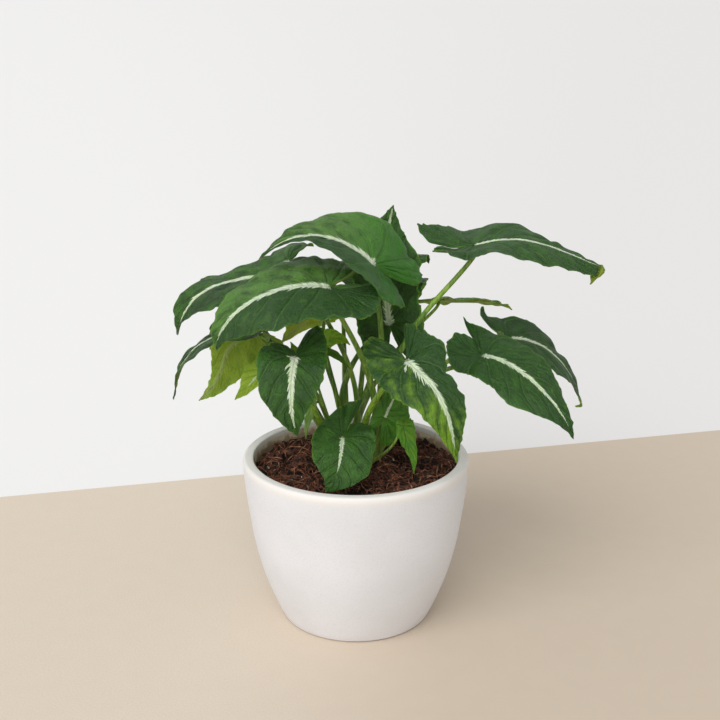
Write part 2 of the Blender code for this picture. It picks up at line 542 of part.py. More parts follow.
# Plantlets: a short foot with its leaf stalks, joined into one solid each
stem_green = material("stem_green", (0.17, 0.30, 0.07), 0.45)
for name, plantlet in PLANTLETS.items():
    bunch = bpy.data.collections.new("stalks_of_" + name)
    tools.children.link(bunch)
    for leaf_name, leaf in LEAVES.items():
        if leaf["stem"] == name:
            add_object("stalk_of_" + leaf_name, stalk(leaf_name, leaf, plantlet), bunch)
    foot = upright_cylinder(name + "_foot", plantlet["at"], plantlet["radius"],
                            SOIL_TOP - FOOT_DEPTH, SOIL_TOP + FOOT_HEIGHT)
    join = foot.modifiers.new("join", "BOOLEAN")
    join.operation = "UNION"
    join.operand_type = "COLLECTION"
    join.collection = bunch
    join.solver = "EXACT"
    mesh = evaluated_mesh(foot)
    mesh.name = name
    mesh.transform(foot.matrix_world)
    bpy.data.objects.remove(foot, do_unlink=True)
    for obj in list(bunch.objects):
        bpy.data.objects.remove(obj, do_unlink=True)
    add_object(name, mesh, part, stem_green)
    mesh.shade_smooth()
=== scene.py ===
import bpy
import numpy as np
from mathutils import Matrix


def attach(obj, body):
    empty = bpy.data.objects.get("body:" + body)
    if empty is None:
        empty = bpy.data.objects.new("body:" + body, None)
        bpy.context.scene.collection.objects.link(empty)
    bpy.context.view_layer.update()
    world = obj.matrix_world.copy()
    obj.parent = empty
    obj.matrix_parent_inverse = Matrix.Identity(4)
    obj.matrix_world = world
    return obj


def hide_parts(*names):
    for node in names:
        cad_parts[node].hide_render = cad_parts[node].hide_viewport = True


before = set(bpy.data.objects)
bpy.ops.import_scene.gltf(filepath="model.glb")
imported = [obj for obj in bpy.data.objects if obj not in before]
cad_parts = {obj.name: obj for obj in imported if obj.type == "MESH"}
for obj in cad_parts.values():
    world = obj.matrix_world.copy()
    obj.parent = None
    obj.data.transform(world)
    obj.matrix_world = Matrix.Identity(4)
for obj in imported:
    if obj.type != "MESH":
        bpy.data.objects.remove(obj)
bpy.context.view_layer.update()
mm = 0.001
print("frame loaded,", len(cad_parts), "nodes")


# Camera, at the portrait's angle
camera = {"at": (2.9, -784.0, 431.7), "down": 17.09, "lens": 58.875, "sensor": 36.0, "farthest": 2000.0}
lensData = bpy.data.cameras.new("portrait")
lensData.lens = camera["lens"]
lensData.sensor_width = camera["sensor"]
lensData.clip_end = camera["farthest"]
cameraObject = bpy.data.objects.new("portrait", lensData)
cameraObject.location = [c * mm for c in camera["at"]]
cameraObject.rotation_euler = (np.radians(90.0 - camera["down"]), 0.0, 0.0)
bpy.context.scene.collection.objects.link(cameraObject)
bpy.context.scene.camera = cameraObject


# Light: an even pale sky and one broad soft sun high on the left
light = {"sky": (0.985, 0.995, 1.0), "skyStrength": 0.60, "sunStrength": 2.0, "sunSpread": 54.0,
         "sunColour": (1.0, 0.995, 0.985), "sunTilt": (43.0, -27.0, 0.0)}
world = bpy.data.worlds.new("studio")
world.use_nodes = True
world.node_tree.nodes["Background"].inputs["Color"].default_value = (*light["sky"], 1.0)
world.node_tree.nodes["Background"].inputs["Strength"].default_value = light["skyStrength"]
bpy.context.scene.world = world
sunData = bpy.data.lights.new("window", "SUN")
sunData.energy = light["sunStrength"]
sunData.angle = np.radians(light["sunSpread"])
sunData.color = light["sunColour"]
sun = bpy.data.objects.new("window", sunData)
sun.rotation_euler = [np.radians(a) for a in light["sunTilt"]]
bpy.context.scene.collection.objects.link(sun)
bpy.context.scene.view_settings.view_transform = "Standard"


# Shader tools

def paint(red, green, blue):
    # A screen colour, 0 to 255, as the linear colour that shaders use
    c = np.array([red, green, blue]) / 255.0
    linear = np.where(c <= 0.04045, c / 12.92, ((c + 0.055) / 1.055) ** 2.4)
    return (*linear.tolist(), 1.0)


def operator(operation):
    # The two forms of a Python operator on shader values: this value first, and this value second
    def first(self, other):
        return self.math(operation, self, other)

    def second(self, other):
        return self.math(operation, other, self)
    return first, second


class Shade:
    # A shader socket that takes part in Python sums: every operator adds one Math node
    def __init__(self, tree, socket):
        self.tree = tree
        self.socket = socket

    def math(self, operation, *values):
        node = self.tree.nodes.new("ShaderNodeMath")
        node.operation = operation
        for slot, value in zip(node.inputs, values):
            plug(self.tree, value, slot)
        return Shade(self.tree, node.outputs[0])

    __add__, __radd__ = operator("ADD")
    __sub__, __rsub__ = operator("SUBTRACT")
    __mul__, __rmul__ = operator("MULTIPLY")
    __truediv__, __rtruediv__ = operator("DIVIDE")
    __pow__, __rpow__ = operator("POWER")

    def __abs__(self):
        return self.math("ABSOLUTE", self)

    def fract(self):
        return self.math("FRACT", self)


def plug(tree, value, slot):
    # Links a wrapped socket into a slot, or sets the slot's own value
    if isinstance(value, Shade):
        tree.links.new(value.socket, slot)
    else:
        slot.default_value = value


class Finish:
    # One material: its Principled shader, and one method for every other kind of node
    def __init__(self, name, **fixed):
        self.material = bpy.data.materials.new(name)
        self.material.use_nodes = True
        self.tree = self.material.node_tree
        self.shader = self.tree.nodes["Principled BSDF"]
        for socket, value in fixed.items():
            self.shader.inputs[socket.replace("_", " ")].default_value = value

    def node(self, kind, settings=None, values=None, output=0):
        made = self.tree.nodes.new("ShaderNode" + kind)
        for name, value in (settings or {}).items():
            setattr(made, name, value)
        for name, value in (values or {}).items():
            plug(self.tree, value, made.inputs[name])
        return Shade(self.tree, made.outputs[output])

    def feed(self, **values):
        for name, value in values.items():
            plug(self.tree, value, self.shader.inputs[name.replace("_", " ")])

    def objectPlace(self):
        return self.node("TexCoord", output="Object")

    def parts(self, vector):
        # The three numbers of a vector, each wrapped
        made = self.node("SeparateXYZ", values={0: vector}).socket.node
        return [Shade(self.tree, out) for out in made.outputs]

    def vector(self, x, y, z):
        return self.node("CombineXYZ", values={0: x, 1: y, 2: z})

    def step(self, value, low, high):
        # 0 below low, 1 above high, smooth between them
        return self.node("MapRange", {"interpolation_type": "SMOOTHSTEP"},
                         {"Value": value, "From Min": low, "From Max": high})

    def mix(self, share, first, second):
        # Two colours, share of the second
        return self.node("Mix", {"data_type": "RGBA"}, {0: share, 6: first, 7: second}, 2)

    def noise(self, place, scale, detail=2.0, roughness=0.5):
        return self.node("TexNoise", values={"Vector": place, "Scale": scale, "Detail": detail,
                                             "Roughness": roughness})

    def bump(self, height, distance, strength=1.0):
        return self.node("Bump", values={"Height": height, "Distance": distance, "Strength": strength})


# Shape tools, all on whole arrays

def unit(a):
    # Vectors divided by their own length
    return a / np.maximum(np.linalg.norm(a, axis=-1, keepdims=True), 1e-9)


def smoothstep(value, low, high):
    # 0 below low and 1 above high; between them 3 x squared less 2 x cubed, x running from 0 to 1
    x = np.clip((value - low) / (high - low), 0, 1)
    return x * x * (3 - 2 * x)


def cubic(points, t):
    # The cubic through four points at t = 0, 1/3, 2/3 and 1
    p = np.asarray(points, float)
    t = np.asarray(t, float)[:, None]
    return (-4.5 * (t - 1 / 3) * (t - 2 / 3) * (t - 1) * p[0] + 13.5 * t * (t - 2 / 3) * (t - 1) * p[1]
            - 13.5 * t * (t - 1 / 3) * (t - 1) * p[2] + 4.5 * t * (t - 1 / 3) * (t - 2 / 3) * p[3])


def evenly(points, count):
    # Evenly spaced points along that cubic, and its length
    fine = cubic(points, np.linspace(0, 1, 200))
    run = np.concatenate([[0], np.cumsum(np.linalg.norm(np.diff(fine, axis=0), axis=1))])
    at = np.linspace(0, run[-1], count)
    return np.stack([np.interp(at, run, fine[:, k]) for k in range(3)], -1), run[-1]


def smoothLine(points, t):
    # A Catmull-Rom curve through all the points, t from 0 to 1
    p = np.asarray(points, float)
    count = len(p) - 1
    ends = np.concatenate([[2 * p[0] - p[1]], p, [2 * p[-1] - p[-2]]])
    x = np.clip(np.asarray(t) * count, 0, count - 1e-9)
    i = x.astype(int)
    f = (x - i)[:, None]
    a, b, c, d = ends[i], ends[i + 1], ends[i + 2], ends[i + 3]
    return 0.5 * (2 * b + (c - a) * f + (2 * a - 5 * b + 4 * c - d) * f ** 2
                  + (3 * b - a - 3 * c + d) * f ** 3)


def cloud(x, y, size, seed):
    # Smooth random relief from -1 to 1: random heights on a square lattice, blended between corners
    heights = np.random.default_rng(seed).uniform(-1, 1, (64, 64))
    gx, gy = np.asarray(x) / size + 1000.0, np.asarray(y) / size + 1000.0
    i, j = np.floor(gx).astype(int), np.floor(gy).astype(int)
    fx, fy = smoothstep(gx - i, 0, 1), smoothstep(gy - j, 0, 1)
    low = heights[i % 64, j % 64] * (1 - fx) + heights[(i + 1) % 64, j % 64] * fx
    high = heights[i % 64, (j + 1) % 64] * (1 - fx) + heights[(i + 1) % 64, (j + 1) % 64] * fx
    return low * (1 - fy) + high * fy


def gridFaces(ids):
    # Two triangles for each cell of a grid of vertex numbers
    a, b, c, d = ids[:-1, :-1], ids[1:, :-1], ids[1:, 1:], ids[:-1, 1:]
    return np.concatenate([np.stack([a, b, c], -1).reshape(-1, 3),
                           np.stack([a, c, d], -1).reshape(-1, 3)])


def whole(faces):
    # The faces whose three corners differ
    a, b, c = faces.T
    return (a != b) & (b != c) & (a != c)


def volume(points, faces):
    # Signed volume of a closed shell: positive where its faces look outwards
    a, b, c = (points[faces[:, k]] for k in range(3))
    return np.einsum("ij,ij->", a, np.cross(b, c)) / 6


def outward(points, faces):
    # The faces of a closed shell, all turned round if they look inwards
    return faces[:, ::-1] if volume(points, faces) < 0 else faces


def ringGrid(count, sides):
    # Vertex numbers of rings that close on themselves: the first column comes again at the end
    ids = np.arange(count * sides).reshape(count, sides)
    return np.concatenate([ids, ids[:, :1]], 1)


def ringShell(rings, start, end):
    # A closed shell of rings of points, with one more point to close each end
    count, sides = rings.shape[:2]
    points = np.concatenate([rings.reshape(-1, 3), [start, end]])
    ids = ringGrid(count, sides)
    poles = np.full((2, sides), [[count * sides], [count * sides + 1]])
    caps = [np.stack([poles[0], ids[0, :-1], ids[0, 1:]], -1),
            np.stack([poles[1], ids[-1, 1:], ids[-1, :-1]], -1)]
    return points, outward(points, np.concatenate([gridFaces(ids), *caps]))


def turnedRings(profile, columns):
    # A profile of (radius, height) turned about the upright axis
    radius, height = np.asarray(profile, float).T
    angle = np.arange(columns) * 2 * np.pi / columns
    return np.stack(np.broadcast_arrays(radius[:, None] * np.cos(angle), radius[:, None] * np.sin(angle),
                                        height[:, None]), -1)


def vertexNormals(points, faces):
    # The sum of the normals of the faces round each vertex, by area
    a, b, c = (points[faces[:, k]] for k in range(3))
    n = np.cross(b - a, c - a)
    total = np.zeros_like(points)
    for k in range(3):
        np.add.at(total, faces[:, k], n)
    return unit(total)


def addPiece(name, points, faces, materials, slot, nodes, smooth=True):
    # A mesh piece that rides on the frame and stands for these nodes; points are in millimetres
    mesh = bpy.data.meshes.new(name)
    mesh.from_pydata((points * mm).tolist(), [], faces.tolist())
    for material in materials:
        mesh.materials.append(material)
    if smooth:
        mesh.shade_smooth()
    mesh.update()
    piece = bpy.data.objects.new(name, mesh)
    bpy.context.scene.collection.objects.link(piece)
    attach(piece, "root")
    for node in nodes:
        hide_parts(node)
    return piece


def tube(path, radius, sides, across, squash=None):
    # Rings round a path: each ring is the path's point plus the radius times a round section,
    # whose first axis is across made square to the path; both ends are closed
    along = unit(np.gradient(path, axis=0))
    side = unit(across - (along @ across)[:, None] * along)
    lift = np.cross(along, side)
    angle = np.arange(sides) * 2 * np.pi / sides
    section = np.ones((len(path), sides)) if squash is None else squash(angle)
    rings = (path[:, None] + (radius[:, None] * section)[..., None]
             * (np.cos(angle)[:, None] * side[:, None] + np.sin(angle)[:, None] * lift[:, None]))
    return ringShell(rings, path[0], path[-1])


def gather(shells):
    # Several (points, faces) shells as one
    counts = np.cumsum([0] + [len(p) for p, _ in shells])
    return (np.concatenate([p for p, _ in shells]),
            np.concatenate([f + n for (_, f), n in zip(shells, counts)]))


# Floor: one wide level sheet, sand in front and pale grey beyond the line behind the plant, both with painted
# shade that darkens them to the right
floor = {"reach": 600.0, "lineStart": (-0.323, 0.198), "lineEnd": (0.379, 0.371), "lineBlur": 0.0006,
         "sandShadeTurn": (-0.12, 0.08), "paleShadeTurn": (-0.33, 0.33),
         "sand": paint(228, 215, 198), "sandShade": paint(203, 188, 170), "sandDot": paint(206, 189, 168),
         "pale": paint(242, 241, 240), "shade": paint(232, 230, 229)}


def floorFinish():
    # Sand with painted shade that darkens it on the right, and pale grey with painted shade that follows the
    # heading from the pot: how far right a point is, divided by how far it is from the pot
    f = Finish("floor_paper", Roughness=0.9)
    x, y, _ = f.parts(f.objectPlace())
    (x0, y0), (x1, y1) = floor["lineStart"], floor["lineEnd"]
    length = float(np.hypot(x1 - x0, y1 - y0))
    beyond = (y - y0) * ((x1 - x0) / length) - (x - x0) * ((y1 - y0) / length)
    grain = f.noise(f.objectPlace(), 60.0, 4.0)
    # Painted shade: the sand turns to its darker colour toward the right, under a little real grain
    sand = f.mix(grain * 0.2 + f.step(x, *floor["sandShadeTurn"]) * 0.8, floor["sand"], floor["sandShade"])
    dots = f.noise(f.objectPlace(), 900.0, 3.0, 0.7)
    sand = f.mix(f.step(dots, 0.30, 0.70) * 0.5, sand, floor["sandDot"])
    heading = x / (x * x + y * y) ** 0.5
    # Painted shade: the pale grey turns to its darker colour toward the right
    pale = f.mix(f.step(heading, *floor["paleShadeTurn"]), floor["pale"], floor["shade"])
    f.feed(Base_Color=f.mix(f.step(beyond, -floor["lineBlur"], floor["lineBlur"]), sand, pale))
    return f.material


r = floor["reach"]
floorMesh = bpy.data.meshes.new("floor")
floorMesh.from_pydata([(-r, -r, 0), (r, -r, 0), (r, r, 0), (-r, r, 0)], [], [(0, 1, 2, 3)])
floorMesh.materials.append(floorFinish())
floorObject = bpy.data.objects.new("floor", floorMesh)
bpy.context.scene.collection.objects.link(floorObject)
print("camera, light and floor ready")


# Pot: a turned shell with a rounded rim, a bellied side and a flat base
pot = {"columns": 144, "stepsPerPoint": 5,
       "white": paint(232, 233, 238), "shade": paint(226, 227, 231), "pitPaintedShade": paint(216, 214, 214),
       "rim": paint(237, 233, 228), "inner": paint(222, 206, 182), "soiled": paint(150, 120, 92),
       "soilLine": 0.111, "rimFrom": (0.112, 0.119), "innerRadius": (0.0728, 0.0740),
       "innerFrom": (0.100, 0.104), "innerTo": (0.1165, 0.1185),
       "profile": [(46.0, 8.0), (53.0, 14.0), (60.5, 32.0), (66.2, 56.0), (69.8, 82.0), (72.0, 104.0),
                   (72.8, 116.0), (73.0, 119.8), (73.7, 120.8), (76.4, 121.0), (79.1, 120.6),
                   (80.3, 118.0), (80.2, 113.0), (79.4, 102.0), (77.0, 82.0), (72.9, 56.0),
                   (66.7, 32.5), (59.4, 13.0), (55.0, 3.2), (53.6, 0.9), (51.5, 0.0)]}


def potFinish():
    # Matt white cast body with a sandy skin, finely pitted with painted shade in the pits, a tan inner wall
    # that is partly stain and partly painted shade, and soil dust inside the mouth
    f = Finish("pot_white", Roughness=0.55)
    place = f.objectPlace()
    x, y, z = f.parts(place)
    skin = f.noise(place, 700.0, 3.0, 0.6)
    patches = f.noise(place, 18.0, 3.0)
    colour = f.mix(f.step(patches, 0.35, 0.7), pot["white"], pot["shade"])
    # Painted shade: the pits are coloured a darker grey as well as sunk by the bump
    pits = f.noise(place, 1100.0, 3.0, 0.75)
    colour = f.mix(f.step(pits, 0.50, 0.72) * 0.75, colour, pot["pitPaintedShade"])
    colour = f.mix(f.step(z, *pot["rimFrom"]) * 0.8, colour, pot["rim"])
    radius = (x * x + y * y) ** 0.5
    inside = (1.0 - f.step(radius, *pot["innerRadius"])) * f.step(z, *pot["innerFrom"])
    # The inner wall above the soil is darker tan: partly soil stain, partly painted shade inside the mouth
    colour = f.mix(inside * (1.0 - f.step(z, *pot["innerTo"])), colour, pot["inner"])
    dust = f.noise(place, 130.0, 5.0, 0.7)
    low = 1.0 - f.step(z, pot["soilLine"] - 0.001, pot["soilLine"] + 0.008)
    colour = f.mix(inside * f.step(dust + low * 0.28, 0.52, 0.72) * 0.75, colour, pot["soiled"])
    sand = f.noise(place, 1600.0, 2.0, 0.7)
    f.feed(Base_Color=colour, Roughness=0.50 + 0.2 * skin,
           Normal=f.bump(skin * 0.5 + sand * 0.4 + pits * -0.5, 0.0003, 0.8))
    return f.material


count = (len(pot["profile"]) - 1) * pot["stepsPerPoint"] + 1
potLine = smoothLine(pot["profile"], np.linspace(0, 1, count))
potShell = ringShell(turnedRings(potLine, pot["columns"]), (0, 0, potLine[0, 1]), (0, 0, potLine[-1, 1]))
addPiece("pot_body", *potShell, [potFinish()], "pot", ["pot"])
print("pot ready")


# Soil: a lumpy crumbly bed just under the rim, with bark chips, coir fibres and perlite
soil = {"top": 111.0, "edge": 72.3, "rings": 110, "columns": 300,
        "lumps": ((17.0, 2.4), (8.0, 2.6), (4.0, 2.2), (1.8, 0.8)), "mound": (-18.0, 8.0, 26.0, 2.0),
        "lowProfile": [(72.2, 104.0), (69.5, 82.0), (65.9, 56.0), (60.2, 32.0), (52.7, 14.0), (45.5, 8.3)],
        "dark": paint(22, 13, 9), "brown": paint(54, 30, 20), "red": paint(96, 54, 36),
        "fibres": 1500, "threads": 420, "roots": 80, "chips": 700, "perlite": 26,
        "fibreReach": 69.0, "fibreEnd": 70.5, "edgeDip": 1.5, "dipStart": 64.0, "looseness": 1.2,
        "bend": 1.3, "tilt": 1.6, "tiltRange": (-1.2, 2.6)}


def soilHeight(x, y):
    # Base level plus lumps of several sizes and one low mound; it dips to the wall at the edge
    h = np.full(np.shape(x), soil["top"])
    for k, (size, height) in enumerate(soil["lumps"]):
        h = h + height * cloud(x, y, size, 20 + k)
    mx, my, wide, high = soil["mound"]
    h = h + high * np.exp(-((x - mx) ** 2 + (y - my) ** 2) / wide ** 2)
    return h - soil["edgeDip"] * smoothstep(np.hypot(x, y), soil["dipStart"], soil["edge"])


def soilFinish():
    f = Finish("soil_peat", Roughness=0.95)
    place = f.objectPlace()
    crumbs = f.noise(place, 900.0, 4.0, 0.7)
    clumps = f.noise(place, 210.0, 3.0, 0.6)
    colour = f.mix(f.step(clumps, 0.42, 0.68), soil["dark"], soil["brown"])
    colour = f.mix(f.step(crumbs, 0.55, 0.75) * 0.6, colour, soil["red"])
    f.feed(Base_Color=colour, Normal=f.bump(crumbs + clumps, 0.0012, 1.0))
    return f.material


ringRadius = soil["edge"] * np.linspace(0.004, 1, soil["rings"]) ** 0.85
topRings = turnedRings(np.stack([ringRadius, ringRadius], -1), soil["columns"])
topRings[..., 2] = soilHeight(topRings[..., 0], topRings[..., 1])
lowRings = turnedRings(soil["lowProfile"], soil["columns"])
soilShell = ringShell(np.concatenate([topRings, lowRings]), (0, 0, topRings[0, :, 2].mean()),
                      (0, 0, lowRings[-1, 0, 2]))
addPiece("soil_bed", *soilShell, [soilFinish()], "soil", ["soil"])


def scatter(count, reach, rng):
    # Random places on a disc, evenly by area: the highest two in three of the places tried
    radius = reach * np.sqrt(rng.uniform(0, 1, count * 3 // 2))
    angle = rng.uniform(0, 2 * np.pi, count * 3 // 2)
    x, y = radius * np.cos(angle), radius * np.sin(angle)
    kept = np.argsort(-soilHeight(x, y) + rng.normal(0, soil["looseness"], len(x)))[:count]
    return x[kept], y[kept]


def fibreShells(count, rng, length, thick, lift, steps):
    # Bent threads lying on the soil: each turns steadily as it runs, and arches a little
    sides = 4
    x0, y0 = scatter(count, soil["fibreReach"], rng)
    heading = rng.uniform(0, 2 * np.pi, count)
    curve = rng.normal(0, soil["bend"], count)
    size = rng.uniform(*length, count)
    s = np.linspace(-0.5, 0.5, steps)
    turn = heading[:, None] + curve[:, None] * s
    dx, dy = np.cos(turn) * size[:, None] / steps, np.sin(turn) * size[:, None] / steps
    x = x0[:, None] + np.cumsum(dx, 1) - dx.sum(1)[:, None] / 2
    y = y0[:, None] + np.cumsum(dy, 1) - dy.sum(1)[:, None] / 2
    far = np.maximum(np.hypot(x, y) / soil["fibreEnd"], 1)
    x, y = x / far, y / far
    arch = rng.uniform(*lift, count)[:, None] * (1 - 4 * s ** 2)
    tilt = rng.normal(0, soil["tilt"], count)[:, None] * s * 2
    level = (soilHeight(x, y) + soilHeight(x0, y0)[:, None]) / 2
    z = level + 0.3 + arch + np.clip(tilt, *soil["tiltRange"])
    path = np.stack([x, y, z], -1)
    along = unit(np.gradient(path, axis=1))
    side = unit(np.cross(along, [0, 0, 1.0]))
    up = np.cross(side, along)
    radius = rng.uniform(0, 1, count)[:, None] ** 2 * (thick[1] - thick[0]) + thick[0]
    radius = radius * (1 - 0.75 * np.abs(2 * s) ** 3)
    a = np.arange(sides) * 2 * np.pi / sides
    rings = (path[:, :, None] + radius[..., None, None]
             * (np.cos(a)[:, None] * side[:, :, None] + np.sin(a)[:, None] * up[:, :, None]))
    points = rings.reshape(-1, 3)
    caps = np.array([[0, 1, 2], [0, 2, 3]])
    faces = np.concatenate([gridFaces(ringGrid(steps, sides)), caps, caps[:, ::-1] + (steps - 1) * sides])
    faces = outward(points[:steps * sides], faces)
    every = faces[None] + (np.arange(count) * steps * sides)[:, None, None]
    return points, every.reshape(-1, 3)


def chipShells(count, rng, size, reach):
    # Bark chips and crumbs: six-sided lumps with jittered corners, turned at random
    corner = np.array([(x, y, z) for x in (-1, 1) for y in (-1, 1) for z in (-1, 1)], float)
    box = np.array([(0, 1, 3, 2), (4, 6, 7, 5), (0, 4, 5, 1), (2, 3, 7, 6), (0, 2, 6, 4), (1, 5, 7, 3)])
    faces = np.concatenate([box[:, [0, 1, 2]], box[:, [0, 2, 3]]])
    x, y = scatter(count, reach, rng)
    half = rng.uniform(*size, count)[:, None] * np.stack(
        [rng.uniform(0.7, 1.6, count), rng.uniform(0.4, 0.9, count), rng.uniform(0.25, 0.6, count)], -1)
    local = corner[None] * (1 + rng.uniform(-0.35, 0.35, (count, 8, 3))) * half[:, None]
    axis = unit(rng.normal(0, 1, (count, 3)) * [0.5, 0.5, 1.0])
    angle = rng.uniform(0, 2 * np.pi, count)
    c, s = np.cos(angle)[:, None, None], np.sin(angle)[:, None, None]
    k = np.broadcast_to(axis[:, None], local.shape)
    turned = local * c + np.cross(k, local) * s + k * (k * local).sum(-1, keepdims=True) * (1 - c)
    centre = np.stack([x, y, soilHeight(x, y) + half[:, 2] * 0.6], -1)
    points = turned + centre[:, None]
    every = outward(corner, faces)[None] + (np.arange(count) * 8)[:, None, None]
    return points.reshape(-1, 3), every.reshape(-1, 3)


def litterFinish(name, dark, light, roughness):
    # A tone that changes from piece to piece, as it follows the place in broad steps
    f = Finish(name, Roughness=roughness)
    place = f.objectPlace()
    tone = f.noise(place, 330.0, 2.0)
    grain = f.noise(place, 2400.0, 2.0)
    colour = f.mix(f.step(tone, 0.36, 0.66), dark, light)
    f.feed(Base_Color=f.mix(grain * 0.35, colour, tuple(c * 0.4 for c in dark)),
           Normal=f.bump(grain, 0.0002, 0.5))
    return f.material


# Each kind of litter. Fibres: length, thickness, arch, points along one, material, its two colours and
# its roughness. Grains: size and reach from the middle, then the same
rng = np.random.default_rng(7)
fibres = [
    ("fibres", (5.0, 16.0), (0.18, 0.65), (0.3, 3.0), 6, "coir_fibre", (50, 27, 18), (146, 86, 58), 0.8),
    ("threads", (5.0, 14.0), (0.16, 0.42), (0.8, 3.2), 6, "coir_thread", (128, 78, 54), (190, 132, 98), 0.8),
    ("roots", (12.0, 30.0), (0.24, 0.5), (1.2, 3.6), 12, "coir_strand", (140, 92, 66), (200, 150, 118),
     0.75)]
for name, length, thick, lift, steps, skin, dark, pale, roughness in fibres:
    addPiece("soil_" + name, *fibreShells(soil[name], rng, length, thick, lift, steps),
             [litterFinish(skin, paint(*dark), paint(*pale), roughness)], "soil", [])
grains = [("chips", (0.8, 2.4), 68.0, "bark_chip", (40, 23, 15), (104, 60, 40), 0.85),
          ("perlite", (0.5, 1.0), 64.0, "perlite", (205, 196, 182), (238, 232, 222), 0.8)]
for name, size, reach, skin, dark, pale, roughness in grains:
    addPiece("soil_" + name, *chipShells(soil[name], rng, size, reach),
             [litterFinish(skin, paint(*dark), paint(*pale), roughness)], "soil", [], smooth=False)
print("soil ready")


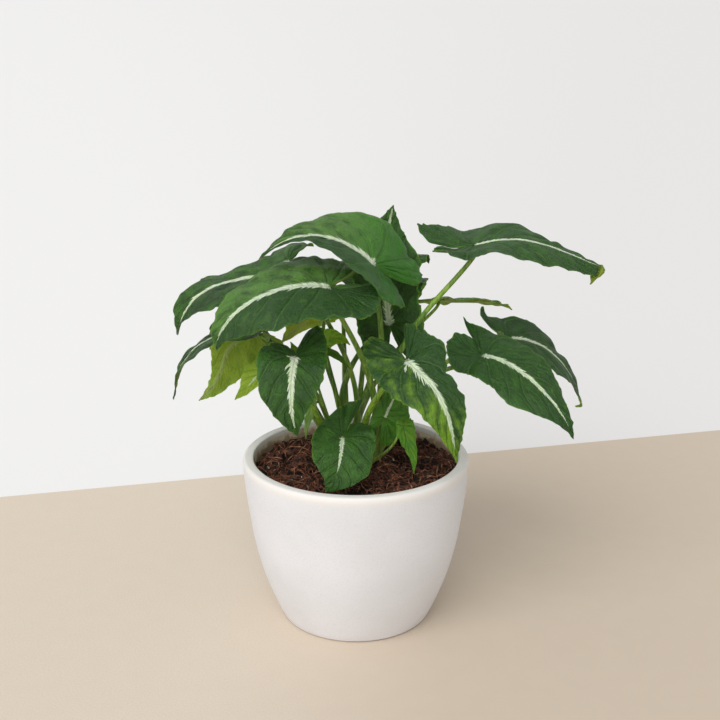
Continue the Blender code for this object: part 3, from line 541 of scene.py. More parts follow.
# Leaves, one row each, in millimetres and degrees. Rows leave out what plainLeaf gives.
# rib: four points along the midrib, from the stalk's end to the tip.
# face: the way that the upper side looks.
# right, left: half width, lobe length, lobe spread, pointedness, taper of the half beside the rib.
# fold: rise of each half beside the rib, at its lobe's end, the stalk, mid-length and the tip.
# camber: how far each half curls down to its edge. drop: how far each lobe bends down.
# wave: height, number and phase of the waves along the edge. hook: start, angle, length and twist of a
# sharp bend. inward: how far each lobe's inner edge bulges across the midrib's line.
# waist: narrowing of each half a quarter of the way down.
# stem, stalk: the plantlet it grows from, and two points on the way. girth: the stalk's radii.
leaves = {
    "leaf_top": {
        "rib": [(12, -6, 260), (-10, -14, 277), (-36, -22, 282), (-64, -28, 267)], "face": (-0.1, -0.45, 1),
        "right": (46, 42, 22, 0, 0.85), "left": (35, 32, 12, 0, 0.75),
        "fold": ((25, 26, -10, -5), (6, 6, 16, 30)), "camber": (18, 14), "drop": (-5, 10),
        "wave": (1.2, 4, 0.1), "inward": (0, 5), "stem": "stem_right",
        "stalk": [(18, 2, 183), (16, -3, 228)], "girth": (2.7, 1.9)},
    "leaf_left_large": {
        "rib": [(-18, -34, 251), (-49, -46, 252), (-76, -58, 240), (-89, -66, 217)],
        "face": (-0.1, -0.15, 1), "right": (38, 36, 26, 0, 1.1), "left": (40, 33, 9, 0, 1.45),
        "fold": ((16, 24, 2, 50), (-14, -6, -5, -35)), "camber": (14, 16), "drop": (-28, -20),
        "wave": (1.3, 4, 0.4), "inward": (-12, 11), "stem": "stem_front",
        "stalk": [(13, -13, 166), (-1, -24, 211)], "girth": (2.9, 1.9)},
    "leaf_left_upper": {
        "rib": [(-47, 14, 257), (-71, 8, 248), (-102, 2, 240), (-123, -2, 209)], "face": (-0.2, -0.25, 1),
        "right": (33, 26, 14, 0, 1.25), "left": (27, 16, 16, 0, 1.8),
        "fold": ((-6, 8, -6, 55), (6, 6, 5, 4)), "camber": (14, 14), "drop": (45, 75),
        "wave": (1.8, 4, 0.6), "waist": (0.8, 1), "stem": "stem_back",
        "stalk": [(-1, 10, 170), (-19, 13, 213)], "girth": (2.5, 1.7)},
    "leaf_left_low": {
        "rib": [(-73, 4, 213), (-95, 0, 208), (-115, -4, 196), (-127, -8, 164)], "face": (-0.6, -0.12, 1),
        "right": (17, 15, 10, 0, 1), "left": (25, 16, 10, 0, 1), "fold": ((6, 6, 6, 6), (10, 10, 10, 10)),
        "camber": (14, 14), "drop": (80, 110), "wave": (2.0, 5, 0.2), "stem": "stem_left",
        "stalk": [(-27, 0, 164), (-50, 5, 196)], "girth": (2.3, 1.5)},
    "leaf_left_turned": {
        "rib": [(-72, 26, 202), (-92, 30, 189), (-99, 34, 171), (-116, 36, 148)], "face": (0.3, 0.9, 0.35),
        "right": (26, 17, 12, 0, 1), "left": (14, 17, 10, 0, 1), "fold": ((6, 6, 5, 4), (6, 6, 5, 4)),
        "wave": (1.8, 4, 0.0), "stem": "stem_left", "stalk": [(-30, 4, 156), (-55, 14, 188)],
        "girth": (2.2, 1.4)},
    "leaf_left_small": {
        "rib": [(-62, -12, 187), (-69, -15, 182), (-75, -19, 176), (-83, -22, 169)],
        "face": (-0.5, -0.8, 0.6), "right": (12, 11, 8, 0, 1), "left": (10, 10, 7, 0, 1),
        "wave": (0.8, 3, 0.3), "stem": "stem_left", "stalk": [(-26, -11, 146), (-41, -13, 170)],
        "girth": (1.9, 1.2)},
    "leaf_front_left": {
        "rib": [(-39, -58, 210), (-41, -68, 198), (-41, -73, 180), (-37, -72, 161)],
        "face": (0.05, -1, 0.35), "right": (24, 9, 16, 0, 1.12), "left": (21, 31, 10, 0, 1.1),
        "fold": ((8, 8, 6, 4), (8, 8, 6, 4)), "drop": (25, 10), "wave": (0.8, 3, 0.5), "inward": (2, 1),
        "stem": "stem_left", "stalk": [(-24, -28, 154), (-34, -47, 188)], "girth": (2.3, 1.5)},
    "leaf_low_left": {
        "rib": [(-30, -21, 166), (-31, -25, 160), (-33, -29, 152), (-34, -33, 144)],
        "face": (-0.9, -0.4, 0.3), "right": (8, 6, 4, 0, 1), "left": (8, 6, 4, 0, 1), "wave": (0.5, 3, 0.0),
        "stem": "stem_left", "stalk": [(-18, -13, 146), (-26, -16, 168)], "girth": (1.6, 1.0)},
    "leaf_behind": {
        "rib": [(-37, -34, 193), (-38, -36, 200), (-40, -38, 208), (-43, -38, 215)], "face": (0.2, -1, 0.1),
        "right": (7, 3, 3, 0, 1.2), "left": (7, 3, 3, 0, 1.2), "wave": (0.5, 3, 0.3), "stem": "stem_left",
        "stalk": [(-16, -18, 146), (-26, -31, 175)], "girth": (1.6, 1.0)},
    "leaf_curled": {
        "rib": [(-28, -2, 196), (-19, -3, 198), (-11, -3, 193), (-4, -1, 184)], "face": (0.3, -0.7, 0.6),
        "right": (4, 3, 2, 0, 1.2), "left": (3, 3, 2, 0, 1.2), "fold": ((20, 20, 15, 10), (20, 20, 15, 10)),
        "camber": (20, 20), "wave": (0.5, 3, 0.1), "stem": "stem_left",
        "stalk": [(-19, -5, 148), (-27, -2, 174)], "girth": (1.6, 0.9)},
    "leaf_middle_turned": {
        "rib": [(-24, 33, 221), (-34, 43, 211), (-43, 53, 200), (-56, 61, 185)], "face": (0.1, 0.6, 0.8),
        "right": (20, 16, 10, 0, 1), "left": (18, 16, 10, 0, 1), "fold": ((6, 6, 5, 4), (6, 2, -2, 4)),
        "wave": (1.2, 3, 0.7), "stem": "stem_back", "stalk": [(-16, 15, 168), (-23, 22, 198)],
        "girth": (2.1, 1.4)},
    "leaf_middle_small": {
        "rib": [(-22, 10, 200), (-16, 5, 205), (-10, 0, 206), (-4, -5, 203)], "face": (0.1, -1, 0.5),
        "right": (7, 6, 4, 0, 1), "left": (8, 6, 4, 0, 1), "fold": ((15, 15, 12, 10), (15, 15, 12, 10)),
        "wave": (0.6, 3, 0.2), "stem": "stem_back", "stalk": [(-14, 10, 160), (-22, 12, 185)],
        "girth": (1.7, 1.0)},
    "leaf_upright": {
        "rib": [(24, 34, 208), (21, 42, 237), (22, 50, 265), (27, 56, 290)], "face": (0.1, -1, 0.2),
        "right": (25, 28, 16, 0, 1.55), "left": (26, 28, 16, 0, 1.7),
        "fold": ((25, 25, 20, 15), (25, 25, 20, 15)), "drop": (10, 10), "wave": (1.2, 4, 0.3),
        "stem": "stem_back", "stalk": [(-10, 18, 159), (4, 27, 190)], "girth": (2.8, 1.9)},
    "leaf_back_right": {
        "rib": [(61, 50, 221), (78, 62, 217), (99, 74, 213), (119, 84, 205)], "face": (0, 0.34, 1),
        "right": (22, 20, 14, 0, 1), "left": (22, 20, 14, 0, 1), "fold": ((6, 6, 5, 4), (6, 6, 5, 4)),
        "camber": (14, 14), "wave": (0.9, 4, 0.5), "stem": "stem_back",
        "stalk": [(12, 32, 160), (38, 44, 195)], "girth": (2.2, 1.4)},
    "leaf_back_small": {
        "rib": [(36, 72, 245), (42, 79, 247), (49, 84, 247), (55, 88, 240)], "face": (0.1, 0.2, 1),
        "right": (18, 16, 11, 0, 1), "left": (16, 16, 11, 0, 1), "fold": ((8, 8, 8, 8), (8, 8, 8, 8)),
        "camber": (14, 14), "wave": (1.2, 3, 0.1), "stem": "stem_back",
        "stalk": [(4, 32, 165), (12, 58, 214)], "girth": (2.2, 1.4)},
    "leaf_back_left": {
        "rib": [(-18, 62, 238), (-31, 82, 240), (-44, 98, 230), (-53, 108, 210)], "face": (-0.1, 0.1, 1),
        "right": (30, 26, 18, 0, 1), "left": (30, 26, 18, 0, 1), "fold": ((8, 8, 6, 4), (8, 8, 6, 4)),
        "camber": (14, 14), "wave": (1.4, 4, 0.8), "stem": "stem_back",
        "stalk": [(-8, 30, 165), (-10, 52, 212)], "girth": (2.3, 1.5)},
    "leaf_front_right": {
        "rib": [(34, -50, 205), (48, -66, 195), (58, -76, 179), (65, -80, 146)], "face": (0.25, -1, 0.5),
        "right": (25.5, 30, 12, 0, 1), "left": (27, 24, 18, 0, 0.8), "fold": ((4, 4, 4, 4), (4, 4, 7, 10)),
        "camber": (12, 12), "drop": (-20, -10), "wave": (1.0, 4, 0.2), "inward": (3, -6),
        "waist": (1, 0.58), "stem": "stem_front", "stalk": [(6, -23, 152), (18, -41, 183)],
        "girth": (2.9, 1.9)},
    "leaf_front_low": {
        "rib": [(-9, -46, 150), (-10, -56, 141), (-13, -62, 130), (-20, -65, 119)], "face": (0.1, -1, 0.4),
        "right": (21, 32, -12, 0.3, 1.3), "left": (23, 17, 14, 0, 1.35), "drop": (-30, 20),
        "wave": (0.8, 3, 0.0), "stem": "stem_front", "stalk": [(3, -24, 134), (-3, -37, 148)],
        "girth": (2.0, 1.3)},
    "leaf_low_middle": {
        "rib": [(20, -24, 157), (25, -20, 167), (30, -16, 176), (35, -14, 183)], "face": (0.3, -1, 0.3),
        "right": (16, 18, 9, 0, 1), "left": (9, 16, 6, 0, 1), "wave": (0.8, 3, 0.4), "stem": "stem_front",
        "stalk": [(13, -13, 130), (17, -18, 145)], "girth": (1.9, 1.2)},
    "leaf_low_right": {
        "rib": [(33, -34, 154), (35, -40, 146), (38, -46, 138), (39, -50, 126)], "face": (0.3, -1, 0.3),
        "right": (6, 5, 4, 0, 1), "left": (7, 6, 4, 0, 1), "wave": (0.5, 3, 0.0), "stem": "stem_front",
        "stalk": [(17, -23, 128), (26, -31, 140)], "girth": (1.6, 1.0)},
    "leaf_right_upper": {
        "rib": [(82, 4, 271), (111, 2, 275), (140, 0, 268), (180, 0, 251)], "face": (0, 0, 1),
        "right": (32, 30, 20, 0, 1.15), "left": (34, 44, 22, 0.2, 0.9),
        "fold": ((6, 6, -14, -50), (32, 16, 8, -8)), "camber": (14, 10), "drop": (-35, -35),
        "wave": (1.5, 5, 0.3), "hook": (0.85, 100, 0.03, 75), "stem": "stem_right",
        "stalk": [(28, 3, 189), (52, 4, 229)], "girth": (2.8, 2.0)},
    "leaf_right_large": {
        "rib": [(88, -8, 196), (109, -26, 192), (130, -44, 176), (144, -56, 153)], "face": (-0.1, -0.35, 1),
        "right": (24, 29, 2, 0, 1.65), "left": (26, 37, 30, 0.5, 1), "fold": ((4, 4, 3, 2), (14, 12, 3, 4)),
        "camber": (12, 12), "drop": (-65, -35), "wave": (1.0, 4, 0.6), "inward": (13, -9),
        "waist": (1.18, 0.88), "stem": "stem_right", "stalk": [(33, -7, 162), (58, -9, 185)],
        "girth": (2.7, 1.8)},
    "leaf_right_back": {
        "rib": [(113, 36, 196), (138, 42, 187), (157, 44, 167), (169, 44, 138)], "face": (0.2, -0.3, 1),
        "right": (25, 22, 12, 0, 1.5), "left": (22, 30, 18, 0.5, 1),
        "fold": ((15, 10, 6, 6), (22, 16, 6, 6)), "camber": (12, 12), "drop": (-60, -45),
        "wave": (1.6, 4, 0.1), "hook": (0.93, 90, 0.03, 0), "stem": "stem_right",
        "stalk": [(38, 12, 157), (70, 20, 187)], "girth": (2.6, 1.7)},
    "leaf_back_middle": {
        "rib": [(31, 79, 226), (37, 98, 227), (42, 111, 214), (43, 118, 195)], "face": (0, 0.1, 1),
        "right": (22, 16, 12, 0, 1), "left": (24, 16, 12, 0, 1), "fold": ((8, 8, 6, 4), (8, 8, 6, 4)),
        "camber": (14, 14), "wave": (1.4, 4, 0.2), "stem": "stem_back",
        "stalk": [(10, 30, 165), (28, 58, 204)], "girth": (2.3, 1.5)},
    "leaf_back_low": {
        "rib": [(-66, 60, 214), (-86, 70, 212), (-102, 76, 198), (-112, 80, 174)], "face": (-0.2, 0.2, 1),
        "right": (26, 24, 16, 0, 1), "left": (26, 24, 16, 0, 1), "fold": ((8, 8, 6, 4), (8, 8, 6, 4)),
        "camber": (14, 14), "wave": (1.4, 4, 0.9), "stem": "stem_left",
        "stalk": [(-36, 10, 158), (-62, 34, 194)], "girth": (2.2, 1.4)},
}
plainLeaf = {"fold": ((10, 10, 8, 6), (10, 10, 8, 6)), "camber": (10, 10), "drop": (20, 20),
             "inward": (0, 0), "waist": (1, 1), "hook": None}
leaves = {name: {**plainLeaf, **leaf} for name, leaf in leaves.items()}


def halfOutline(length, half, inward, waist, count):
    # (along, across) points down one edge, from the notch at the stalk round the lobe to the tip
    width, lobe, spread, pointed, taper = half
    k = pointed
    return smoothLine([
        (-0.03 * length, 0.0),
        (-0.50 * lobe, (0.16 + 0.10 * k) * spread - inward),
        (-0.90 * lobe, (0.52 + 0.20 * k) * spread - 0.8 * inward),
        (-1.00 * lobe, spread),
        ((-0.84 + 0.10 * k) * lobe, spread + (0.45 - 0.22 * k) * (width - spread)),
        (-0.40 * lobe, spread + (0.84 - 0.30 * k) * (width - spread)),
        (0.07 * length, (1.0 - 0.06 * k) * width),
        (0.28 * length, 0.93 * width * waist),
        (0.52 * length, 0.66 * width * taper),
        (0.74 * length, 0.36 * width * taper),
        (0.90 * length, 0.13 * width * taper),
        (length, 0.0)], np.linspace(0, 1, count))


def ribFrames(leaf, count=81):
    # Points, directions, right-hand sides and upward normals along the midrib
    rib, length = evenly(leaf["rib"], count)
    along = unit(np.gradient(rib, axis=0))
    side = unit(np.cross(along[count // 3], unit(np.asarray(leaf["face"], float))))
    across = unit(side - (along @ side)[:, None] * along)
    normal = np.cross(across, along)
    if leaf["hook"]:
        start, angle, width, twist = leaf["hook"]
        grown = np.clip((np.linspace(0, 1, count) - start) / width, 0, 1)[:, None]
        c, s = np.cos(np.radians(angle) * grown), np.sin(np.radians(angle) * grown)
        along, normal = along * c - normal * s, normal * c + along * s
        c, s = np.cos(np.radians(twist) * grown), np.sin(np.radians(twist) * grown)
        across, normal = across * c - normal * s, normal * c + across * s
        steps = (along[1:] + along[:-1]) / 2 * length / (count - 1)
        rib = rib[0] + np.concatenate([[[0, 0, 0]], np.cumsum(steps, axis=0)])
    return rib, along, across, normal, length


def bent(leaf, u, v, sign):
    # Flat (along, across) positions bent into space: each half rises from the rib at its fold and
    # curls down at an even rate to its edge, and what lies behind the stalk turns down at an even rate
    rib, along, across, normal, length = ribFrames(leaf)
    at = np.clip(u / length, 0, 1) * (len(rib) - 1)
    index = np.arange(len(rib))
    p, t, b, n = (np.stack([np.interp(at, index, a[:, k]) for k in range(3)], -1)
                  for a in (rib, along, across, normal))
    right = sign > 0
    out = sign * v
    width = np.where(right, leaf["right"][0], leaf["left"][0])
    lobe = np.where(right, leaf["right"][1], leaf["left"][1])
    fold = np.radians(np.where(right, *(
        np.interp(u, [-leaf[half][1], 0, length / 2, length], rises)
        for half, rises in zip(("right", "left"), leaf["fold"]))))
    curl = -np.radians(np.where(right, *leaf["camber"])) / width
    sideways = (np.sin(fold + curl * out) - np.sin(fold)) / curl
    upward = (np.cos(fold) - np.cos(fold + curl * out)) / curl
    behind = np.clip(-u, 0, None)
    share = 0.5 + 0.5 * sign * np.clip(np.abs(out) / (0.06 * length), 0, 1)
    drop = np.radians(leaf["drop"][0] * share + leaf["drop"][1] * (1 - share))
    rate = np.where(np.abs(drop) < 1e-4, 1e-4, drop) / lobe
    turn = (rate * behind)[:, None]
    lifted = n * np.cos(turn) - t * np.sin(turn)
    place = (p - t * np.sin(turn) / rate[:, None] - n * (1 - np.cos(turn)) / rate[:, None]
             + b * (sign * sideways)[:, None] + lifted * upward[:, None])
    return place, lifted


# Blades: rows fan out from the stalk and then from the midrib, and columns run out to the edge.
# upper, lower: the skins' distances from the middle surface. flare: where along the edge, how wide and
# how much broader the right half of a blade with a folded tip is. Below fullLength, detail shrinks
blade = {"rows": 132, "columns": 20, "ribShare": [0, 0, 0, 0, 0, 0, 0.03, 0.22, 0.47, 0.71, 0.89, 1],
         "veins": 13, "veinSway": 0.022, "lean": 0.13, "upper": 0.30, "lower": 0.30, "ridge": 0.75,
         "groove": 0.22, "pucker": 0.90, "lumps": 1.05, "frill": 0.50, "wobble": 1.05, "nibble": 0.55,
         "flare": (0.94, 0.05, 0.6), "fullLength": 70.0, "grooveWidth": 1.1, "ridgeWidth": 1.4,
         "lumpSize": 7.0, "swellSize": 14.0, "wobbleSize": 3.0, "nibbleSize": 1.3}


def bladePiece(name, leaf, seed, material, slot):
    # A thin closed blade. Its middle surface is the bent outline with ripples added along its normals:
    # long waves that grow with the square of the reach, small frills at the edge, puckers between the
    # veins, random lumps, and a groove along the rib
    length = ribFrames(leaf)[4]
    small = min(1.0, length / blade["fullLength"])
    rows = int(blade["rows"] * (0.5 + 0.5 * small))
    t = np.linspace(0, 1, rows)
    s = np.linspace(0, 1, blade["columns"])
    q = 0.6 * (0.5 - 0.5 * np.cos(np.pi * s)) + 0.4 * s
    root = length * np.interp(t, np.arange(12) / 11, blade["ribShare"])
    flat = np.zeros((2, rows, blade["columns"], 2))
    sign = np.array([1.0, -1.0])[:, None, None] * np.ones((2, rows, blade["columns"]))
    for side, half in enumerate((leaf["right"], leaf["left"])):
        edge = halfOutline(length, half, leaf["inward"][side], leaf["waist"][side], rows)
        out = edge - np.stack([root, np.zeros(rows)], -1)
        reach = np.linalg.norm(out, axis=1)
        run = t * 150 * small
        rough = blade["wobble"] * cloud(run, side * 9.0, blade["wobbleSize"], seed)
        rough = rough + blade["nibble"] * cloud(run, side, blade["nibbleSize"], seed)
        rough = rough * np.sqrt(np.sin(np.pi * t)) * small
        out = out * (1 + rough / np.maximum(reach, 3.0))[:, None]
        if leaf["hook"] and side == 0:
            at, wide, most = blade["flare"]
            out[:, 1] = out[:, 1] * (1 + most * np.exp(-((t - at) / wide) ** 2))
        flat[side, :, :, 0] = root[:, None] + out[:, :1] * q
        flat[side, :, :, 1] = sign[side] * out[:, 1:] * q
    rowT = np.broadcast_to(t[:, None], sign.shape)
    rowQ = np.broadcast_to(q, sign.shape)
    forward = smoothstep(rowT, 0.40, 0.66)
    vein = rowT - blade["lean"] * rowQ * forward * (1 - smoothstep(rowT, 0.86, 1.0) * 0.8)
    vein = vein + blade["veinSway"] * cloud(rowT * 16.0, sign * 5.0 + rowQ * 0.7, 1.3, seed + 30)
    reach = np.linalg.norm(flat - np.stack([np.broadcast_to(root[:, None], sign.shape),
                                            np.zeros(sign.shape)], -1), axis=-1)
    _, first, number = np.unique(np.round(flat.reshape(-1, 2), 5) + 0.0, axis=0,
                                    return_index=True, return_inverse=True)
    number = number.reshape(-1)
    u, v = flat.reshape(-1, 2)[first].T
    sg, tt, qq, vv = (a.reshape(-1)[first] for a in (sign, rowT, rowQ, vein))
    middle, normal = bent(leaf, u, v, sg)
    height, waves, phase = leaf["wave"]
    ripple = np.sin(2 * np.pi * (waves * tt + phase) + 0.7 * sg)
    hill = np.sqrt(np.sin(np.pi * np.clip(tt, 0, 1)))
    ripple = height * ripple * qq ** 2 * hill
    frill = np.sin(2 * np.pi * (3.4 * waves * tt + 2 * phase) + sg)
    ripple += blade["frill"] * small * frill * qq ** 4 * hill
    between = np.abs(np.sin(np.pi * blade["veins"] * vv)) ** 0.7 - 0.6
    swell = 1 + 0.6 * cloud(u, v, blade["swellSize"], seed + 50)
    ripple += blade["pucker"] * small * between * swell * (4 * qq * (1 - qq)) ** 0.7 * hill
    lumps = cloud(u, v, blade["lumpSize"], seed + 90)
    ripple += blade["lumps"] * small * lumps * smoothstep(qq, 0.05, 0.3)
    groove = np.exp(-(v / blade["grooveWidth"]) ** 2) * (u > -1)
    ripple -= blade["groove"] * groove * (1 - smoothstep(u / length, 0.7, 1.0))
    middle = middle + normal * ripple[:, None]
    ids = np.arange(sign.size).reshape(sign.shape)
    cells = np.concatenate([gridFaces(ids[0]), gridFaces(ids[1])[:, ::-1]])
    cells = cells[whole(number[cells])]
    normals = vertexNormals(middle, number[cells])
    if np.einsum("ij,ij->", normals, normal) < 0:
        cells, normals = cells[:, ::-1], -normals
    thin = 1 - qq ** 8
    ridge = blade["ridge"] * np.exp(-(v / blade["ridgeWidth"]) ** 2)
    ridge = ridge * (1 - 0.8 * np.clip(u / length, 0, 1)) * (u > -1)
    upper = middle + normals * (blade["upper"] * thin)[:, None]
    lower = middle - normals * ((blade["lower"] + ridge) * thin)[:, None]
    margin = (qq > 0.9999) | (tt > 0.9999)
    upper[margin] = lower[margin] = middle[margin]
    under = np.where(margin, np.arange(len(u)), len(u) + np.cumsum(~margin) - 1)
    points = np.concatenate([upper, lower[~margin]])
    faces = np.concatenate([number[cells], under[number[cells]][:, ::-1]])
    piece = addPiece(name + "_blade", points, faces, [material], slot, [name])
    corners = np.concatenate([cells, cells[:, ::-1]]).reshape(-1)
    isUpper = np.concatenate([np.ones(cells.size), np.zeros(cells.size)])
    flatList = flat.reshape(-1, 2)
    veinData = np.stack([vein.reshape(-1)[corners], reach.reshape(-1)[corners], isUpper], -1)
    placeData = np.stack([flatList[corners, 0] / length, flatList[corners, 1], rowQ.reshape(-1)[corners]], -1)
    for label, data in (("vein", veinData), ("place", placeData)):
        layer = piece.data.attributes.new(label, "FLOAT_VECTOR", "CORNER")
        layer.data.foreach_set("vector", data.astype(np.float32).ravel())
    return piece


# How each blade is coloured. green, light: the two ends of its mottling. mottle: how much of the light
# one there is. side: how much lighter the right half is, painted light on that half. tip: how much
# lighter the blade gets toward its tip. flush: how much fresh green there is round the stalk's end.
# under: the two ends of the underside's mottling. stripe: the pale band's half width, its reach along
# the rib and how strong its barbs are. curl: how yellow the end is.
green = {name: paint(*colour) for name, colour in {
    "dark": (28, 58, 18), "deep": (34, 72, 20), "mid": (56, 102, 24), "leaf": (74, 128, 24),
    # Painted sheen: the greyed green on the next line, between yellow and fresh, is a light mottling green
    # with sheen greyed into it
    "young": (110, 150, 26), "yellow": (150, 176, 50), "lightMottlePaintedSheen": (84, 126, 48), "fresh": (44, 114, 14),
    "lime": (140, 190, 36), "vein": (100, 146, 54), "rim": (122, 150, 66), "back": (98, 130, 66),
    "backLight": (124, 152, 70), "backRib": (165, 186, 118), "backYoung": (112, 148, 34),
    # Painted glow: the bright yellow-green on the next line, after backYellow, is an underside colour
    # brightened to stand for light shining through the blade
    "backYellow": (142, 172, 50), "underPaintedGlow": (176, 200, 62), "cream": (216, 227, 202),
    "creamShade": (158, 186, 138)}.items()}
defaultLook = {"green": "deep", "light": "mid", "under": ("back", "backLight"), "mottle": 0.40,
               "stripe": (2.7, 0.90, 1.0), "side": 0.0, "tip": 0.0, "curl": 0.0, "flush": 0.0}
leafLooks = {
    "leaf_top": {"light": "lightMottlePaintedSheen", "mottle": 0.40, "side": 0.85, "tip": -0.15, "flush": 0.85,
                 "stripe": (3.1, 0.93, 1.5)},
    "leaf_left_large": {"light": "lightMottlePaintedSheen", "mottle": 0.36, "side": 0.75, "stripe": (3.4, 0.93, 1.3)},
    "leaf_left_upper": {"green": "dark", "side": 0.3, "stripe": (3.2, 0.93, 1.3)},
    "leaf_left_low": {"green": "dark", "stripe": (2.5, 0.92, 0.9)},
    "leaf_left_turned": {"green": "leaf", "light": "yellow", "under": ("backYoung", "backYellow"),
                         "mottle": 0.75, "stripe": (1.4, 0.8, 0.6)},
    "leaf_left_small": {"green": "leaf", "light": "yellow", "mottle": 1.0, "stripe": (1.6, 0.6, 0.8)},
    "leaf_front_left": {"stripe": (3.0, 0.88, 1.0)},
    "leaf_behind": {"green": "leaf", "light": "young", "mottle": 0.9, "stripe": (0.3, 0.5, 0.3)},
    "leaf_curled": {"green": "leaf", "light": "young", "mottle": 0.3, "stripe": (0.2, 0.5, 0.3)},
    "leaf_low_left": {"green": "leaf", "light": "young", "mottle": 0.6, "stripe": (0.5, 0.7, 0.5)},
    "leaf_middle_turned": {"green": "leaf", "light": "yellow", "under": ("backYellow", "underPaintedGlow"),
                           "mottle": 0.75, "stripe": (1.2, 0.8, 0.6)},
    "leaf_middle_small": {"green": "leaf", "light": "lime", "mottle": 1.3, "stripe": (0.3, 0.5, 0.3)},
    "leaf_upright": {"stripe": (3.2, 0.97, 1.7)},
    "leaf_front_right": {"light": "young", "mottle": -0.06, "side": 0.5, "tip": 0.31,
                         "stripe": (2.6, 0.90, 1.5)},
    "leaf_back_right": {"green": "mid", "light": "leaf", "under": ("backYoung", "backYellow"),
                        "curl": 0.6},
    "leaf_front_low": {"light": "mid", "mottle": 0.5, "stripe": (1.7, 0.62, 1.3)},
    "leaf_low_middle": {"green": "mid", "light": "leaf", "mottle": 0.5, "stripe": (1.3, 0.8, 0.8)},
    "leaf_low_right": {"green": "leaf", "light": "young", "mottle": 0.3, "stripe": (0.2, 0.5, 0.3)},
    "leaf_right_upper": {"mottle": 0.24, "stripe": (2.3, 0.84, 1.1), "curl": 0.9},
    "leaf_right_large": {"mottle": 0.24, "stripe": (2.4, 0.90, 1.1)},
    "leaf_right_back": {"mottle": 0.10, "stripe": (2.2, 0.90, 1.0), "curl": 0.6},
}


# How fine each pattern on a blade is. tone: where its mottling starts and ends. bump: its depth, in m
leafSkin = {"patches": 120.0, "quilt": 420.0, "blotches": 24.0, "flecks": 95.0, "net": (46.0, 0.26),
            "teeth": 190.0, "barbs": 85.0, "fingers": 30.0, "grain": 300.0, "tone": (0.33, 0.68),
            "bump": 0.0009}


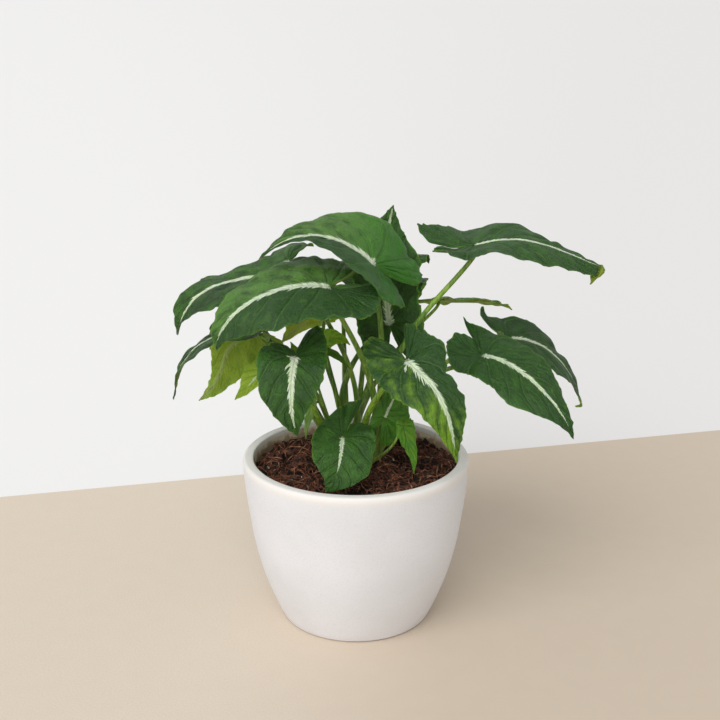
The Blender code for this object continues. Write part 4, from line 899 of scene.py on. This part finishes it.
def leafFinish(name, seed):
    # The skin of both sides of a blade. vein: which vein a point lies by. reach: millimetres from the
    # rib. along, across: place on the flat blade. q: 0 at the rib and 1 at the edge
    look = {**defaultLook, **leafLooks.get(name, {})}
    wide, end, barbs = look["stripe"]
    f = Finish(name + "_skin", Roughness=0.42, Specular_IOR_Level=0.36, Subsurface_Weight=0.5,
               Subsurface_Scale=0.001, Subsurface_Radius=(0.7, 1.1, 0.3))
    vein, reach, upper = f.parts(f.node("Attribute", {"attribute_name": "vein"}, output="Vector"))
    along, across, q = f.parts(f.node("Attribute", {"attribute_name": "place"}, output="Vector"))
    half = f.step(across, -0.05, 0.05)
    shift = half * 3.7 + seed

    # Ground colour: blotches some 7 mm wide, streaks along the veins, and lighter between the veins
    line = abs((vein * float(blade["veins"])).fract() - 0.5) * 2.0
    patch = f.noise(f.objectPlace(), leafSkin["patches"], 2.0, 0.55)
    blotch = f.noise(f.vector(vein * leafSkin["blotches"], reach * 0.06, shift), 1.0, 3.0, 0.6)
    flecks = f.noise(f.vector(vein * leafSkin["flecks"], reach * 0.3, shift), 1.0, 3.0, 0.65)
    # Painted light: the side term lightens the right half of the blade
    tone = patch * 0.56 + blotch * 0.24 + flecks * 0.20 + (half - 0.5) * (look["side"] * 0.35)
    tone = tone - (line - 0.5) * 0.10 + (look["mottle"] - 0.5) * 0.4 + f.step(along, 0.1, 0.95) * look["tip"]
    amount = f.step(tone, *leafSkin["tone"])
    ground = f.mix(amount, green[look["green"]], green[look["light"]])
    flush = (1.0 - f.step(along, -0.20, 0.42)) * (0.6 + 0.4 * amount) * look["flush"]
    ground = f.mix(flush, ground, green["fresh"])

    # Side veins with a crease beside them darkened with painted shade, and the fine net between them
    sideVein = f.step(line, 0.92, 0.99)
    crease = f.step(line, 0.70, 0.92) * (1.0 - sideVein)
    netVein, netReach = leafSkin["net"]
    net = f.node("TexVoronoi", {"feature": "DISTANCE_TO_EDGE"},
                 {"Vector": f.vector(vein * netVein, reach * netReach, seed), "Scale": 1.0})
    netLine = 1.0 - f.step(net, 0.0, 0.07)
    # Painted shade: the crease is mixed toward a darker copy of the blade's own green
    veined = f.mix(crease * 0.10, ground, tuple(c * 0.55 for c in green[look["green"]][:3]) + (1.0,))
    veined = f.mix(sideVein * 0.26 + netLine * 0.12, veined, green["vein"])

    # Pale band down the rib, widest at the stalk: it reaches out to a ragged limit with barbs that
    # lean to the tip, a few of them long near the stalk
    slant = vein - reach * 0.005 * f.step(vein, 0.45, 0.58)
    tooth = f.noise(f.vector(slant * leafSkin["teeth"], shift + 9.0, 0.0), 1.0, 1.0, 0.5)
    barb = f.noise(f.vector(slant * leafSkin["barbs"], shift, 0.0), 1.0, 2.0, 0.6)
    finger = f.noise(f.vector(slant * leafSkin["fingers"], shift + 5.0, 0.0), 1.0, 1.0, 0.5)
    forward = f.step(along, -0.05, 0.02)
    taper = f.node("Math", {"operation": "MAXIMUM"}, {0: 1.0 - along / end, 1: 0.0}) ** 0.55
    spikes = (f.step(tooth, 0.40, 0.62) * (0.38 * barbs) + f.step(barb, 0.46, 0.66) * (0.38 * barbs)
              + f.step(finger, 0.60, 0.72) * barbs * taper * f.step(barb, 0.40, 0.52))
    limit = (taper * (0.62 + spikes) * (0.35 + 0.65 * forward)) * wide - (1.0 - forward) * 0.9
    band = f.step(limit - reach, -0.08, 0.14)
    streak = f.noise(f.vector(along * 9.0, across * 1.9, seed), 1.0, 2.0, 0.6)
    fine = f.noise(f.vector(slant * leafSkin["grain"], reach * 0.5, shift), 1.0, 2.0, 0.6)
    shaded = f.step(streak * 0.6 + fine * 0.4, 0.42, 0.66) * 0.55
    cream = f.mix(shaded, green["cream"], green["creamShade"])
    groove = (1.0 - f.step(abs(across), 0.18, 0.55)) * f.step(along, 0.0, 0.04)
    cream = f.mix(groove * 0.55, cream, green["creamShade"])
    top = f.mix(band, veined, cream)

    # A thin light rim, and a paler and duller underside with a light rib
    rim = f.step(q, 0.975, 1.0)
    top = f.mix(rim * 0.18, top, green["rim"])
    below = f.mix(amount, *(green[tone] for tone in look["under"]))
    below = f.mix(f.step(2.2 - reach, 0.0, 1.2) * 0.6 + sideVein * 0.3, below, green["backRib"])
    colour = f.mix(upper, below, top)
    colour = f.mix(f.step(along, 0.83, 0.90) * look["curl"], colour, green["yellow"])
    quilt = f.noise(f.objectPlace(), leafSkin["quilt"], 3.0, 0.6)
    height = netLine * -0.25 + (sideVein + crease) * -0.5 + flecks * 0.3 + blotch * 0.7 + quilt * 1.6
    f.feed(Base_Color=colour, Roughness=0.40 + 0.18 * flecks + 0.1 * band + (1.0 - upper) * 0.15,
           Normal=f.bump(height, leafSkin["bump"], 0.9))
    return f.material


for seed, (name, leaf) in enumerate(leaves.items()):
    bright = leafLooks.get(name, {}).get("green") == "leaf"
    bladePiece(name, leaf, seed + 1, leafFinish(name, seed * 7.3), "leaf_bright" if bright else "leaf_dark")
print("blades ready")


# Plantlets: a short foot in the soil, and a grooved stalk for each leaf with a sheath low down
plantlets = {
    "stem_left": {"at": (-12.0, -9.0), "radius": 3.8},
    "stem_back": {"at": (-5.0, 10.0), "radius": 3.8},
    "stem_front": {"at": (7.0, -11.0), "radius": 4.2},
    "stem_right": {"at": (14.0, 5.0), "radius": 4.2},
}
stalk = {"steps": 54, "sides": 16, "start": 4.0, "bendStart": 7.0, "bendEnd": 2.8, "sheath": 0.28,
         "groove": 0.16, "knee": 0.12, "slim": 0.84, "easing": 8, "footDepth": 9.0, "footHeight": 13.0,
         "footRings": 40, "footSides": 24, "domeStart": 10.0, "domeReach": 3.3,
         "green": paint(86, 128, 36), "light": paint(126, 162, 50), "low": paint(168, 182, 110),
         "streak": paint(56, 92, 24), "paleStreak": paint(164, 190, 84), "lowTo": (0.112, 0.160)}


def stalkShell(leaf, plantlet):
    # A tapering tube from inside the foot to the blade. Its section is round with a shallow groove on
    # the inner side, wider to the sides low down where it sheathes the next one
    rib, along, _, normal, _ = ribFrames(leaf)
    approach = unit(0.55 * along[0] + 0.83 * normal[0])
    corner = leaf["girth"][1] * np.linalg.norm(np.cross(approach, normal[0]))
    end = rib[0] - normal[0] * (0.75 + corner)
    start = np.array([*plantlet["at"], soil["top"] + stalk["start"]])
    path, _ = evenly([start, *leaf["stalk"], end - stalk["bendStart"] * approach], 10)
    tip = rib[0] + along[0] * 0.8 - normal[0] * 0.6
    path = np.concatenate([path, [end - stalk["bendEnd"] * approach, end, tip]])
    share = np.linspace(0, 1, stalk["steps"])
    path = smoothLine(path, share)
    for _ in range(stalk["easing"]):
        path[1:-1] = (path[:-2] + 2 * path[1:-1] + path[2:]) / 4
    radius = leaf["girth"][0] + (leaf["girth"][1] - leaf["girth"][0]) * np.minimum(1, share * 1.3)
    radius = radius * (1 - (1 - stalk["slim"]) * smoothstep(share, 0.10, 0.30))
    radius = radius * (1 + stalk["knee"] * np.exp(-((share - 0.93) / 0.04) ** 2))
    radius = radius * (1 - 0.75 * smoothstep(share, 0.955, 1.0))
    heading = unit(path[-1] - path[0])
    across = unit(np.cross(heading, [0.0, 0.0, 1.0]))
    low = (1 - smoothstep(share, 0.30, 0.55))[:, None]

    def section(angle):
        groove = 1 - stalk["groove"] * np.exp(-((angle - np.pi / 2) / 0.5) ** 2)
        return groove[None] * (1 + stalk["sheath"] * low * np.cos(angle)[None] ** 2)
    return tube(path, radius, stalk["sides"], across, section)


def footShell(plantlet):
    # The short stem itself: rings at its leaf scars, closed by a rounded top
    h = np.linspace(-stalk["footDepth"], stalk["footHeight"], stalk["footRings"])
    rings = 1 + 0.05 * np.cos(h * 1.25) - 0.12 * smoothstep(h, 2.0, 13.0)
    dome = np.sqrt(1 - np.clip((h - stalk["domeStart"]) / stalk["domeReach"], 0, 1) ** 2)
    x, y = plantlet["at"]
    path = np.stack([np.full(h.shape, x), np.full(h.shape, y), soil["top"] + h], -1)
    return tube(path, plantlet["radius"] * rings * dome, stalk["footSides"], np.array([1.0, 0, 0]))


def stalkFinish():
    # Smooth green, lighter low down in the sheaths, with fine lengthwise streaks and small flecks
    f = Finish("stalk_green", Roughness=0.42, Subsurface_Weight=0.3, Subsurface_Scale=0.001,
               Subsurface_Radius=(0.7, 1.1, 0.3))
    place = f.objectPlace()
    _, _, z = f.parts(place)
    patches = f.noise(place, 45.0, 3.0)
    streaks = f.noise(f.node("Mapping", {"vector_type": "POINT"},
                             {"Vector": place, "Scale": (700.0, 700.0, 30.0)}), 1.0, 3.0)
    colour = f.mix(f.step(patches, 0.35, 0.65), stalk["green"], stalk["light"])
    low = 1.0 - f.step(z, *stalk["lowTo"])
    colour = f.mix(low * 0.55, colour, stalk["low"])
    colour = f.mix(f.step(streaks, 0.50, 0.66) * 0.60, colour, stalk["streak"])
    colour = f.mix((1.0 - f.step(streaks, 0.36, 0.48)) * 0.45, colour, stalk["paleStreak"])
    f.feed(Base_Color=colour, Normal=f.bump(streaks, 0.0004, 0.8))
    return f.material


stalkMaterial = stalkFinish()
for name, plantlet in plantlets.items():
    shells = [footShell(plantlet)] + [stalkShell(leaf, plantlet) for leaf in leaves.values()
                                      if leaf["stem"] == name]
    addPiece(name + "_stalks", *gather(shells), [stalkMaterial], "stem", [name])
print("stalks ready")
